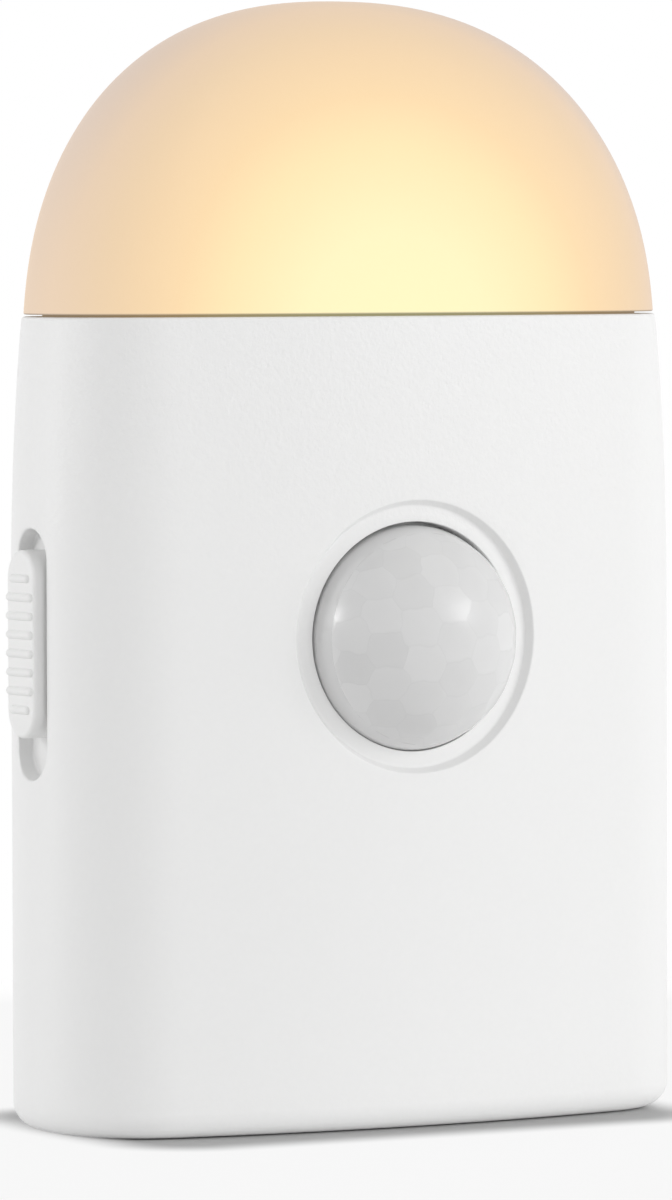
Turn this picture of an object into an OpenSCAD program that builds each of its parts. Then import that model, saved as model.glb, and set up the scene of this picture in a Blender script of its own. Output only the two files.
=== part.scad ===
// Motion sensor night light: an upright white housing with a lit dome on top,
// a domed motion sensor lens in front and a slide switch in the left side.
// The front faces -Y, +Z is up, and the origin is the middle of the base.

/* [Body] */
// Width of the body
body_w = 66; // [62:0.5:78]
// Depth of the body, front to back
body_d = 30; // [29:0.5:38]
// Height of the body, up to the seam under the dome
body_h = 75.4; // [70:0.1:95]
// Radius of the gently bowed front
front_r = 128; // [90:1:300]
// Radius of the two front corners
front_corner_r = 11; // [8:0.5:13]
// Length of the flat on each side, between its two corners
side_flat = 1.6; // [0.6:0.1:4]
// Wall thickness of the housing
wall = 1.8; // [1.4:0.1:2.4]
// Radius of the edge round the foot
foot_r = 2.4; // [0.6:0.1:3]
// Height of the band that leans in towards the seam
crown_h = 25.4; // [10:0.1:35]
// How far the wall leans in at the seam
crown_in = 1.06; // [0.5:0.02:1.6]
// Depth of the rear cover
cover_d = 6; // [5:0.1:8]
// Depth of the lap joint between front shell and rear cover
lap_d = 1.5; // [0.8:0.1:2.5]

/* [Dome] */
// Height of the dome above the seam
dome_h = 29.2; // [20:0.1:45]
// Wall thickness of the dome
dome_wall = 2; // [1.2:0.1:2.6]
// Fullness of the dome: 2 is an ellipse, more is squarer
dome_power = 2.3; // [1.8:0.05:3]
// Share of the half width that the dome's sides give up to draft
dome_draft = 0.07; // [0:0.01:0.12]
// How far the top of the dome lies behind the middle
apex_back = 0.9; // [0:0.1:2]
// Step from the body's edge in to the dome
dome_step = 0.2; // [0:0.05:0.6]
// Dark gap at the seam
seam_gap = 0.2; // [0.1:0.05:0.5]
// Thickness of the spigot that enters the body
spigot_t = 1.6; // [1.2:0.1:2]
// Height of the spigot below the dome
spigot_h = 4.3; // [3:0.1:6]
// Height of the bead at the end of the spigot
bead_h = 0.8; // [0.5:0.1:1.4]
// How far the bead stands out from the spigot
bead_out = 0.9; // [0.5:0.05:1.1]

/* [Motion sensor lens] */
// Height of the lens axis above the base
lens_z = 45.7; // [42:0.1:50]
// Radius of the lens where it leaves the housing
lens_r = 10.4; // [9.5:0.05:11]
// Height of the lens dome
lens_rise = 8.2; // [2.6:0.1:9]
// Wall thickness of the lens
lens_wall = 0.9; // [0.7:0.05:1.2]
// Gap round the lens
lens_gap = 0.25; // [0.15:0.05:0.5]
// Width of the flange behind the lens hole
flange_w = 2.3; // [1.6:0.05:3]
// Thickness of the flange
flange_t = 1; // [0.6:0.1:1.6]
// Distance from the front of the body back to the flange
flange_seat = 2.6; // [2.4:0.1:3.4]
// Width of the land round the lens hole
land_w = 1.35; // [0.8:0.05:2]
// Width of the sloped wall round the land
slope_w = 0.7; // [0.4:0.05:1.4]
// Depth of the land's outer edge below the front
land_d = 0.75; // [0.5:0.05:0.9]
// Rise of the land towards the lens hole
land_rise = 0.15; // [0:0.05:0.45]
// Spacing of the lens cells up a column
cell_pitch = 3.5; // [2.9:0.1:4.5]
// Spacing of the columns of cells
column_pitch = 3.4; // [3:0.05:5]
// Columns of cells on each side of the lens axis
cell_columns = 2; // [1:1:2]
// Height of a lens cell on the inner face
cell_bulge = 0.45; // [0.15:0.05:0.5]

/* [Switch] */
// Height of the middle of the switch slot
switch_z = 44.3; // [38:0.1:50]
// Place of the slot, from the middle towards the back
switch_y = -0.3; // [-1.5:0.1:1.5]
// Length of the slot
slot_l = 23.2; // [21.5:0.1:26]
// Width of the slot
slot_w = 6; // [5.6:0.1:7]
// Depth of the slot
slot_d = 1.85; // [1.2:0.05:2.4]
// Length of the knob
knob_l = 17.4; // [15:0.1:18.5]
// Width of the knob
knob_w = 5.4; // [4.4:0.1:5.5]
// How far the knob stands out of the side
knob_out = 1; // [0.5:0.1:2]
// Radius of the knob's outer edge
knob_round = 0.4; // [0.3:0.1:1.2]
// Number of grip ribs
rib_count = 8; // [4:1:9]
// Spacing of the grip ribs
rib_pitch = 1.73; // [1.3:0.01:1.8]
// Radius of a grip rib
rib_r = 0.45; // [0.3:0.05:0.6]
// Length of the grip ribs
rib_l = 5; // [3:0.1:5.2]
// Throw of the switch between its two positions
throw = 2; // [1.5:0.1:2.6]
// Width of the switch can
can_w = 3.7; // [3.2:0.1:4.5]
// Length of the switch can
can_l = 8.8; // [8.6:0.1:11]
// Height of the switch can behind its lever
can_h = 4.4; // [3.6:0.1:5]
// Thickness of the switch lever
lever_t = 1.6; // [1.2:0.1:1.8]

/* [Batteries] */
// Diameter of a cell
cell_d = 10.5; // [10:0.1:11]
// Length of a cell over its button
cell_l = 44.5; // [43:0.1:46]
// Gap between cells
cell_gap = 0.4; // [0.2:0.05:1]
// Height of the bay's inner floor above the base
bay_z = 9.6; // [9.3:0.1:12]
// Wall thickness of the bay
bay_wall = 1.2; // [0.9:0.1:1.6]
// Working height of a contact spring
spring_h = 5; // [4:0.1:6]
// Diameter of the spring wire
spring_wire = 0.6; // [0.4:0.05:0.7]
// Turns of a spring
spring_turns = 4; // [3:0.5:4]
// Radius of a spring at its seat
spring_r = 4; // [3.6:0.1:4.3]
// Radius of a spring at the cell
spring_tip_r = 2.2; // [1.8:0.1:2.6]
// Thickness of the contact plates
plate_t = 0.4; // [0.3:0.05:0.6]
// Thickness of the battery door
door_t = 1.6; // [1.4:0.1:2]
// Radius of the door's hinge barrel
barrel_r = 1.4; // [1.2:0.1:1.6]
// Radius of the door's pivot pins
pin_r = 0.8; // [0.6:0.05:0.9]
// Length of the door's pivot pins
pin_l = 1.8; // [1.2:0.1:2.4]
// Height of the door's pivot above the base
pivot_z = 6.5; // [5.8:0.1:6.9]
// Gap round the door
door_gap = 0.3; // [0.2:0.05:0.5]

/* [Boards and fasteners] */
// Thickness of the main board
board_t = 1.6; // [1:0.1:2]
// Gap from the main board to the side walls
board_gap = 2.2; // [2:0.1:4]
// Drop of the main board below the lens axis
board_drop = 25.7; // [22:0.1:27]
// Radius of the motion sensor can
pir_r = 4.1; // [3.5:0.1:4.4]
// Height of the motion sensor can
pir_h = 4.2; // [3.5:0.1:5]
// Width of the LED board
led_board_w = 32; // [28:1:34]
// Depth of the LED board
led_board_d = 10.4; // [8:0.1:10.6]
// Number of LEDs
led_count = 3; // [1:1:3]
// Spacing of the LEDs
led_pitch = 8; // [7:0.5:9]
// Thickness of the reflector tray
tray_t = 0.8; // [0.6:0.1:1]
// Height of the reflector tray's rim
tray_rim = 3; // [1:0.1:3.4]
// Radius of the screw bosses
boss_r = 3; // [2.6:0.1:3.4]
// Radius of the screw shanks
screw_r = 1.1; // [0.9:0.05:1.3]
// Length of the rear screws
screw_l = 10; // [8:0.5:14]
// Height of the lower rear screws above the base
low_screw_z = 8; // [7:0.1:9]

/* [Hidden] */
$fn = 64;

// Clearances and small overlaps that cuts and joins share
slack = 0.3;
fit = 0.1;
pin_fit = 0.06;
rim_gap = 0.2;
touch = 0.05;
over = 1;

// Plan outline: a bowed front, tight front corners, short flat sides, wide rear corners and a flat back
half_w = body_w / 2;
front_y = -body_d / 2;
back_y = body_d / 2;
front_cy = front_y + front_r;
front_cx = half_w - front_corner_r;
front_turn = asin(front_cx / (front_r - front_corner_r));
corner_y = front_cy - (front_r - front_corner_r) * cos(front_turn);
rear_cy = corner_y + side_flat;
rear_corner_r = back_y - rear_cy;
rear_cx = half_w - rear_corner_r;
crown_z = body_h - crown_h;
crown_r = (crown_h * crown_h + crown_in * crown_in) / (2 * crown_in);
parting_y = back_y - cover_d;
lap_in = wall / 2;
lap_lift = 0.15 * foot_r;

// Dome and its seat
dome_z = body_h + seam_gap;
dome_in = crown_in + dome_step;
spigot_fit = 0.15;
spigot_in = crown_in + wall + spigot_fit;
bead_in = spigot_in - bead_out;
bead_z = dome_z - spigot_h;
ledge_h = 2;

// Motion sensor lens
hole_r = lens_r + lens_gap;
flange_r = lens_r + flange_w;
cup_wall = 1.5;
cup_r = flange_r + cup_wall;
flange_room = 0.4;
cup_d = flange_t + flange_room;
seat_y = front_y + flange_seat;
lens_base_y = front_at(hole_r) + land_d - land_rise;
lens_ball_r = (lens_r * lens_r + lens_rise * lens_rise) / (2 * lens_rise);
lens_ball_y = lens_base_y - lens_rise + lens_ball_r;
lens_throat_r = sqrt(pow(lens_ball_r - lens_wall, 2) - pow(lens_ball_y - lens_base_y, 2));
lenslet_r = 12;
lens_arc = (lens_ball_r - lens_wall) * asin(lens_throat_r / (lens_ball_r - lens_wall)) * PI / 180;
cell_margin = 4.2;
cell_field = lens_arc - cell_margin;
cell_rows = ceil(cell_field / cell_pitch);
retainer_r = flange_r - cup_wall;
retainer_bore = lens_r - lens_wall;

// Switch
pocket_t = 1.2;
knob_z = switch_z + throw / 2;
knob_gap = 0.25;
knob_in = slot_d - knob_gap;
socket_d = 1.6;
can_gap = 0.4;
can_x = -half_w + slot_d + pocket_t + can_gap;
can_t = 0.3;
carriage_l = can_l - 2 * can_t - throw - 4 * fit;
carriage_t = 1.2;

// Main board, set by the switch that stands on its rear face
board_rear_y = switch_y - can_w / 2;
board_front_y = board_rear_y - board_t;
board_half = half_w - wall - board_gap;

// Battery bay
bay_pitch = cell_d + cell_gap;
cell_room = 0.5;
bay_fit = 0.15;
bay_half = 1.5 * bay_pitch + bay_fit;
door_in_y = back_y - door_t;
cell_y = door_in_y - cell_room - cell_d / 2;
bay_floor_y = cell_y - cell_d / 2 - cell_room;
ridge_half = 2.4;
ridge_h = 2.2;
bay_front_y = bay_floor_y - bay_wall;
emboss_h = 0.3;
bay_l = 2 * plate_t + emboss_h + 2 * fit + cell_l + spring_h;
bay_top_z = bay_z + bay_l;
plate_edge = 0.95;
plate_half = bay_pitch / 2 - plate_edge;
tail_w = 3;
button_r = 1.9;
button_h = 1;
cell_edge = 0.4;
seat_gap = plate_t + spring_h + fit;

// Battery door
door_lap = 0.4;
door_head = 1.4;
door_half = bay_half + door_lap;
door_top_z = bay_top_z + bay_wall + door_head;
pivot_y = back_y - barrel_r;
notch_r = 6;
notch_d = 1;
catch_l = 10;
door_rib_t = 1;
door_rib_h = 2.2;
hinge_wall = 1.2;
hinge_end = 0.8;

// Link from the main board to the LED board
header_h = 2.5;
pin_side = 0.64;
link_y = (board_rear_y + bay_front_y - slack) / 2;

// Light source under the dome
tray_z = bead_z - fit - tray_t;
tray_in = crown_in + wall + fit;
led_board_t = 1.2;
led_stand = 1.2;
led_board_top = tray_z - led_stand;
led_rear_y = link_y + pin_side;
led_front_y = front_at(led_board_w / 2) + wall + crown_in + slack;
led_board_y = max(led_rear_y - led_board_d / 2, led_front_y + led_board_d / 2);
led_hole_r = 2.6;
led_size = [3.5, 2.8, 0.7];
peg_r = 1;
shoulder = 0.6;
peg_edge = 2.4;
peg_x = led_board_w / 2 - peg_edge;
tray_wall = 0.9;
shelf_gap = 1.25;
shelf_t = 1.5;
shelf_x = led_board_w / 2 + shelf_gap + shelf_t / 2;
shelf_reach = 3;
shelf_h = 2;

// Rear screws stand outside the bay, under the reflector tray
sleeve_t = 0.6;
sleeve_r = boss_r + sleeve_t;
sleeve_gap = 0.4;
screw_x = bay_half + bay_wall + sleeve_r + sleeve_gap;
boss_drop = 1.7;
top_screw_z = tray_z - boss_r - boss_drop;
rear_screw_z = [low_screw_z, top_screw_z];
head_r = 2 * screw_r;
head_h = 1.5 * screw_r;
head_seat = 2.5;
head_y = parting_y + head_seat;
board_top_z = top_screw_z - sleeve_r - rim_gap;
board_low_z = lens_z - board_drop;
board_screw_in = 6.8;
board_screw_x = board_half - board_screw_in;
board_screw_l = 6;
board_boss_r = boss_r - sleeve_t;
board_head_r = head_r - 0.3;
board_head_h = 1.2;
recess_l = 1.3;
recess_w = 0.3;
recess_d = 0.7;
board_screw_edge = [4, 4.6];
board_screw_z = [board_low_z + board_screw_edge[0], board_top_z - board_screw_edge[1]];

// Parts on the main board
link_drop = 4;
link_z = board_top_z - link_drop;
link_x = [6, 8.54];
link_pitch = link_x[1] - link_x[0];
pir_rim = 0.5;
pir_tab = [1.1, 0.8];
window_size = [4, 0.5, 3];
photo_gap = 1.4;
photo_r = 1.5;
photo_x = pir_r + photo_gap + photo_r;
photo_rim = 0.25;
photo_h = 2.4;
chip_in = 3;
chip_x = chip_in - board_screw_x;
chip_z = (board_screw_z[0] + board_screw_z[1]) / 2;
chip_size = [3.9, 1.6, 10];
lead_pitch = 1.27;
lead_span = 6;
lead_t = 0.3;
cap_r = 2.5;
cap_x = board_screw_x - 2 * cap_r;
cap_drop = 13;
cap_z = lens_z - cap_drop;
cap_gap = 0.9;
cap_h = board_front_y - front_at(cap_x + cap_r) - wall - cap_gap;
cap_groove = 0.25;

// Front of the body at a distance x from the middle
function front_at(x) = front_cy - sqrt(front_r * front_r - x * x);

// Points on an arc, with or without its end point
function arc(c, r, a0, a1, n, last) =
    [for (k = [0:last ? n : n - 1]) let (a = a0 + (a1 - a0) * k / n) c + r * [cos(a), sin(a)]];

// Plan outline drawn in by i, as points anticlockwise from the left end of the front
function outline(i) = concat(
    arc([0, front_cy], front_r - i, 270 - front_turn, 270 + front_turn, 12, false),
    arc([front_cx, corner_y], front_corner_r - i, front_turn - 90, 0, 10, true),
    arc([rear_cx, rear_cy], rear_corner_r - i, 0, 90, 12, true),
    [for (k = [1:5]) [rear_cx * (1 - k / 3), back_y - i]],
    arc([-rear_cx, rear_cy], rear_corner_r - i, 90, 180, 12, true),
    arc([-front_cx, corner_y], front_corner_r - i, 180, 270 - front_turn, 10, false)
);

// Lean of the wall at the height h above the start of the crown
function crown_at(h) = crown_r - sqrt(crown_r * crown_r - h * h);

// Outline drawn in by i, lifted to z
function flat_ring(i, z) = [for (p = outline(i)) [p.x, p.y, z]];

// Ring of the dome at the share t of its height: the outline drawn in by i, which turns into an ellipse
function dome_ring(i, t, z) = [for (p = outline(i))
    let (a = half_w - i, b = back_y - i, u = atan2(p.y / b, p.x / a), m = t * t, s = dome_scale(t))
    [s * (p.x * (1 - m) + a * cos(u) * m),
        apex_back + s * (p.y * (1 - m) + b * sin(u) * m - apex_back), z]];

// Half width of the dome at the share t of its height, as a share of that at the seam
function dome_scale(t) = pow(1 - pow(t, dome_power), 1 / dome_power) - dome_draft * t * (1 - t);

// Circle of radius r round the lens axis that follows the front at the depth d
function front_ring(r, d) =
    [for (k = [0:71]) let (x = r * cos(5 * k)) [x, front_at(x) + d, lens_z + r * sin(5 * k)]];

// Path of a conical spring from its seat at z = 0
function spring_path() = [for (k = [0:8 * spring_turns]) let (t = k / (8 * spring_turns))
    let (r = spring_r + (spring_tip_r - spring_r) * t)
    [r * cos(45 * k), r * sin(45 * k),
        spring_wire / 2 + touch + (spring_h - spring_wire - 2 * touch) * t]];

// Least gap between points of a path that lie over half a turn apart
function self_gap(path, wire) = min([for (i = [0:len(path) - 1]) for (j = [i + 5:1:len(path) - 1])
    norm(path[i] - path[j])]) - wire;

echo(least_spring_gap = self_gap(spring_path(), spring_wire));

// Box between two corners
module box(a, b) {
    translate(a) cube(b - a);
}

// Round rod along Y from y0 to y1
module rod(x, z, y0, y1, r) {
    translate([x, y1, z]) rotate([90, 0, 0]) cylinder(r = r, h = y1 - y0);
}

// Places a shape on the left side, with its local Z pointing out of the wall
module on_left_side(z) {
    translate([-half_w, switch_y, z]) rotate([90, 0, -90]) children();
}

// Long hole outline with round ends
module stadium(l, w) {
    square([w, l - w], center = true);
    for (s = [-1, 1]) translate([0, s * (l - w) / 2]) intersection() {
        circle(d = w);
        translate([-w, s > 0 ? 0 : -w]) square([2 * w, w]);
    }
}

// Quarter of a disc of radius r about c, on the side with larger x and the side of y that up picks
module quarter(c, r, up) {
    intersection() {
        translate(c) circle(r);
        translate([c.x, up ? c.y : c.y - r - over]) square(r + over);
    }
}

// Closed solid through rings of equally many points, with a point at each end
module spindle(first, rings, last) {
    n = len(rings[0]);
    m = len(rings);
    points = concat([first], [for (ring = rings) each ring], [last]);
    sides = [for (j = [0:m - 2]) for (k = [0:n - 1])
        let (a = 1 + j * n + k, b = 1 + j * n + (k + 1) % n)
        each [[a, b, b + n], [a, b + n, a + n]]];
    ends = [for (k = [0:n - 1]) let (l = (k + 1) % n, e = 1 + (m - 1) * n)
        each [[0, 1 + l, 1 + k], [e + k, e + l, 1 + m * n]]];
    polyhedron(points, concat(sides, ends));
}

// Six-sided tube of radius r along a path that turns about Z
module coil(path, r) {
    n = len(path);
    rings = [for (j = [0:n - 1])
        let (t = path[min(j + 1, n - 1)] - path[max(j - 1, 0)])
        let (u = cross(t, [0, 0, 1]) / norm(cross(t, [0, 0, 1])), v = cross(t, u) / norm(t))
        for (k = [0:5]) path[j] + r * (cos(60 * k) * u + sin(60 * k) * v)];
    sides = [for (j = [0:n - 2]) for (k = [0:5])
        let (a = j * 6 + k, b = j * 6 + (k + 1) % 6)
        each [[a + 6, b + 6, b], [a + 6, b, a]]];
    polyhedron(rings, concat(sides, [[0, 1, 2, 3, 4, 5]], [[for (k = [1:6]) n * 6 - k]]));
}

// Solid with the body's outer form drawn in by i, from the floor to the seam and on by rise
module body_form(i, floor, rise) {
    f = max(foot_r - i, 0);
    spindle([0, 0, body_h + rise],
        concat(
            rise > 0 ? [flat_ring(i + crown_in, body_h + rise)] : [],
            [for (k = [4:-1:0]) let (h = crown_h * k / 4) flat_ring(i + crown_at(h), crown_z + h)],
            [for (k = [0:f > 0 ? 4 : 0]) let (a = 22.5 * k)
                flat_ring(i + f * (1 - cos(a)), floor + f * (1 - sin(a)))]),
        [0, 0, floor]);
}

// Hollow housing, before it is parted
module housing() {
    difference() {
        body_form(0, 0, 0);
        body_form(wall, wall, over);
    }
}

// Space in front of the parting plane, or behind it
module front_space(y) {
    box([-body_w, -body_d, -over], [body_w, y, body_h + over]);
}

module rear_space(y) {
    box([-body_w, y, -over], [body_w, body_d, body_h + over]);
}

// Band of the lap joint inside the wall, drawn in by i, from y0 past the parting plane and up to z1
module lap_band(i, y0, z1) {
    intersection() {
        translate([0, 0, i + lap_lift]) linear_extrude(z1 - i - lap_lift) polygon(outline(i));
        box([-body_w, y0, -over], [body_w, parting_y + over, body_h]);
    }
}

// Groove in the housing for the bead of the dome
module bead_groove() {
    translate([0, 0, bead_z - slack]) linear_extrude(bead_h + 2 * slack)
        polygon(outline(bead_in - slack));
}

// The four rear screw places
module at_rear_screws() {
    for (s = [-1, 1]) for (z = rear_screw_z) translate([s * screw_x, 0, z]) children();
}

// The four board screw places
module at_board_screws() {
    for (s = [-1, 1]) for (z = board_screw_z) translate([s * board_screw_x, 0, z]) children();
}

// Boss of radius r along Y at x and z, from inside the front wall back to y
module front_boss(x, z, y, r) {
    intersection() {
        rod(x, z, front_y, y, r);
        translate([0, 0, z - r - over]) linear_extrude(2 * (r + over))
            polygon(outline(wall / 2 + crown_at(max(z + r - crown_z, 0))));
    }
}

// Two ribs that carry the reflector tray, between y0 and y1
module tray_shelf(y0, y1) {
    for (x = [-shelf_x, shelf_x])
        box([x - shelf_t / 2, y0, tray_z - shelf_h], [x + shelf_t / 2, y1, tray_z]);
}

// Switch pocket moulded behind the side wall
module pocket_block() {
    on_left_side(switch_z) translate([0, 0, -slot_d - pocket_t])
        linear_extrude(slot_d + pocket_t - wall / 2)
            stadium(slot_l + 2 * pocket_t, slot_w + 2 * pocket_t);
}

module pocket_cut() {
    on_left_side(switch_z) {
        translate([0, 0, -slot_d]) linear_extrude(slot_d + over) stadium(slot_l, slot_w);
        translate([0, 0, -slot_d - pocket_t - over]) linear_extrude(pocket_t + 2 * over)
            square([lever_t + 2 * slack, lever_t + throw + 2 * slack], center = true);
    }
}

// Round bezel: a land that follows the front and rises to the hole, inside a sloped wall
module bezel_cut() {
    r = hole_r + land_w;
    hole_edge = land_d - land_rise;
    spindle([0, front_y - land_d - over, lens_z],
        [front_ring(r + 2 * slope_w, -land_d), front_ring(r, land_d), front_ring(hole_r - over, hole_edge)],
        [0, front_y + hole_edge, lens_z]);
}

module front_shell() {
    color("white") difference() {
        union() {
            intersection() {
                housing();
                front_space(parting_y);
            }
            pocket_block();
            rod(0, lens_z, front_at(cup_r) + slack, seat_y + cup_d, cup_r);
            for (s = [-1, 1]) {
                for (z = rear_screw_z) front_boss(s * screw_x, z, parting_y, boss_r);
                for (z = board_screw_z) front_boss(s * board_screw_x, z, board_front_y, board_boss_r);
            }
            tray_shelf(front_at(shelf_x) + crown_in + slack, front_at(shelf_x) + wall + shelf_reach);
        }
        bezel_cut();
        rod(0, lens_z, front_y - over, seat_y + over, hole_r);
        rod(0, lens_z, seat_y, seat_y + cup_d + over, flange_r + fit);
        pocket_cut();
        bead_groove();
        lap_band(lap_in - fit / 2, parting_y - lap_d - fit, crown_z + fit);
        at_rear_screws() rod(0, 0, head_y - screw_l - over, parting_y + over, screw_r + touch);
        at_board_screws()
            rod(0, 0, board_rear_y - board_screw_l - over, board_front_y + over, screw_r + touch);
    }
}

module rear_cover() {
    color("white") difference() {
        union() {
            intersection() {
                housing();
                rear_space(parting_y);
            }
            difference() {
                lap_band(lap_in + fit / 2, parting_y - lap_d, crown_z);
                body_form(wall, wall, over);
            }
            battery_bay();
            intersection() {
                union() {
                    at_rear_screws() rod(0, 0, parting_y, back_y, sleeve_r);
                    for (s = [-1, 1]) hinge_boss(s);
                }
                for (s = [-1, 1]) translate([s * rear_cx, rear_cy])
                    cylinder(r = rear_corner_r - wall / 2, h = body_h);
            }
            tray_shelf(back_y - crown_in - wall - shelf_reach, back_y - crown_in - wall / 2);
        }
        bay_space();
        door_space();
        bead_groove();
        at_rear_screws() {
            rod(0, 0, parting_y - over, back_y, screw_r + fit);
            rod(0, 0, head_y, back_y + over, head_r + slack);
        }
        for (s = [-1, 1]) hinge_hole(s);
        finger_notch();
        tail_slots();
    }
}

// Battery bay, a tray open to the back with ridges between the cells
module battery_bay() {
    w = bay_half + bay_wall;
    box([-w, bay_front_y, bay_z - bay_wall], [w, door_in_y - rim_gap, bay_top_z + bay_wall]);
}

module bay_space() {
    difference() {
        box([-bay_half, bay_floor_y, bay_z], [bay_half, back_y - wall / 2, bay_top_z]);
        for (s = [-1, 1]) difference() {
            box([s * bay_pitch / 2 - ridge_half, bay_front_y, bay_z - over],
                [s * bay_pitch / 2 + ridge_half, bay_floor_y + ridge_h, bay_top_z + over]);
            for (x = [-1, 1]) translate([s * bay_pitch / 2 + x * bay_pitch / 2, cell_y, bay_z - 2 * over])
                cylinder(d = cell_d + 2 * slack, h = bay_l + 4 * over);
            for (z = [bay_z - over, bay_top_z - spring_h])
                box([-body_w, bay_front_y - over, z], [body_w, cell_y, z + spring_h + over]);
        }
    }
}

// Slots for the two contact tails in the front of the bay
module tail_slots() {
    box([-bay_pitch - tail_w / 2 - fit, bay_front_y - over, bay_top_z - plate_t - fit],
        [-bay_pitch + tail_w / 2 + fit, bay_floor_y + over, bay_top_z]);
    box([bay_pitch - tail_w / 2 - fit, bay_front_y - over, bay_z],
        [bay_pitch + tail_w / 2 + fit, bay_floor_y + over, bay_z + plate_t + fit]);
}

// Opening in the back for the door and its barrel
module door_space() {
    box([-door_half - door_gap, door_in_y - rim_gap, pivot_z - barrel_r - door_gap],
        [door_half + door_gap, back_y + over, door_top_z + door_gap]);
}

// Scoop above the door for a fingertip
module finger_notch() {
    translate([0, back_y + notch_r - notch_d, door_top_z + door_gap - notch_d]) sphere(notch_r);
}

module hinge_boss(s) {
    x0 = door_half + door_gap;
    x1 = x0 + pin_l + hinge_end;
    r = pin_r + hinge_wall;
    box([min(s * x0, s * x1), pivot_y - r, pivot_z - r], [max(s * x0, s * x1), back_y, pivot_z + r]);
}

module hinge_hole(s) {
    x = door_half + door_gap;
    translate([s * (x - over), pivot_y, pivot_z]) rotate([0, s * 90, 0])
        cylinder(r = pin_r + pin_fit, h = pin_l + over + fit);
}

// Side view of the door, whose outer face leans in with the crown
module door_profile() {
    crown = [for (k = [0:4]) min(crown_h * k / 4, door_top_z - crown_z)];
    polygon(concat([[door_in_y, door_top_z], [door_in_y, pivot_z], [back_y, pivot_z]],
        [for (h = crown) [back_y - crown_at(h), crown_z + h]]));
}

module battery_door() {
    color("white") {
        translate([-door_half, 0, 0]) rotate([90, 0, 90]) linear_extrude(2 * door_half) door_profile();
        translate([-door_half, pivot_y, pivot_z]) rotate([0, 90, 0])
            cylinder(r = barrel_r, h = 2 * door_half);
        translate([-door_half - door_gap - pin_l, pivot_y, pivot_z]) rotate([0, 90, 0])
            cylinder(r = pin_r, h = 2 * (door_half + door_gap + pin_l));
        for (x = [-bay_pitch / 2, bay_pitch / 2])
            box([x - door_rib_t / 2, door_in_y - door_rib_h, bay_z + 1.5 * spring_h],
                [x + door_rib_t / 2, door_in_y + door_t / 2, bay_top_z - 1.5 * spring_h]);
        translate([-catch_l / 2, door_in_y + door_t / 2, door_top_z]) rotate([0, 90, 0])
            cylinder(r = door_gap - touch, h = catch_l);
    }
}

module dome_diffuser() {
    inner_h = dome_h - dome_wall;
    ledge_t = ledge_h / inner_h;
    start = asin(ledge_t);
    spigot_inner = spigot_in + spigot_t;
    color([1, 0.88, 0.7]) spindle([0, apex_back, dome_z + dome_h],
        concat(
            [for (k = [19:-1:0]) let (t = sin(4.5 * k)) dome_ring(dome_in, t, dome_z + dome_h * t)],
            [flat_ring(spigot_in, dome_z), flat_ring(spigot_in, bead_z + bead_h),
             flat_ring(bead_in, bead_z + bead_h), flat_ring(bead_in, bead_z),
             flat_ring(spigot_inner, bead_z), flat_ring(spigot_inner, dome_z + ledge_h)],
            [for (k = [0:13]) let (t = sin(start + (90 - start) * k / 14))
                dome_ring(dome_in + dome_wall, t, dome_z + inner_h * t)]),
        [0, apex_back, dome_z + inner_h]);
}

// Places of the LEDs along their board
module at_leds() {
    for (k = [0:led_count - 1]) let (x = (k - (led_count - 1) / 2) * led_pitch)
        translate([x, led_board_y, led_board_top]) children();
}

module reflector_tray() {
    color("white") difference() {
        union() {
            translate([0, 0, tray_z]) linear_extrude(tray_t) polygon(outline(tray_in));
            translate([0, 0, tray_z]) linear_extrude(tray_t + tray_rim) difference() {
                polygon(outline(spigot_in + spigot_t + slack));
                polygon(outline(spigot_in + spigot_t + slack + tray_wall));
            }
            for (s = [-1, 1]) translate([s * peg_x, led_board_y, led_board_top]) {
                cylinder(r = peg_r + shoulder, h = led_stand + touch);
                translate([0, 0, -led_board_t - shoulder])
                    cylinder(r = peg_r, h = led_board_t + shoulder);
            }
        }
        at_leds() cylinder(r = led_hole_r, h = led_stand + tray_t + over);
    }
}

module led_board() {
    color("ghostwhite") difference() {
        translate([-led_board_w / 2, led_board_y - led_board_d / 2, led_board_top - led_board_t])
            cube([led_board_w, led_board_d, led_board_t]);
        for (s = [-1, 1]) translate([s * peg_x, led_board_y, led_board_top - led_board_t - over])
            cylinder(r = peg_r + fit, h = led_board_t + 2 * over);
    }
}

module warm_leds() {
    color("gold") at_leds() {
        translate([-led_size.x / 2, -led_size.y / 2, 0]) cube(led_size);
        translate([0, 0, led_size.z - touch]) cylinder(r1 = 1.2, r2 = 0.9, h = 0.25);
    }
}

module main_board() {
    color("seagreen") difference() {
        box([-board_half, board_front_y, board_low_z], [board_half, board_rear_y, board_top_z]);
        at_board_screws() rod(0, 0, board_front_y - over, board_rear_y + over, screw_r + fit);
    }
}

module pir_sensor() {
    color("silver") difference() {
        union() {
            rod(0, lens_z, board_front_y - pir_rim, board_front_y, pir_r + pir_rim);
            rod(0, lens_z, board_front_y - pir_h, board_front_y, pir_r);
            box([-pir_r - pir_tab[0], board_front_y - pir_rim, lens_z - pir_tab[1] / 2],
                [-pir_r, board_front_y, lens_z + pir_tab[1] / 2]);
        }
        window_block(fit);
    }
}

// Filter window of the motion sensor, grown by g
module window_block(g) {
    y = board_front_y - pir_h;
    box([-window_size.x / 2 - g, y - g, lens_z - window_size.z / 2 - g],
        [window_size.x / 2 + g, y + window_size.y + g, lens_z + window_size.z / 2 + g]);
}

module sensor_window() {
    color("dimgray") window_block(0);
}

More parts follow.
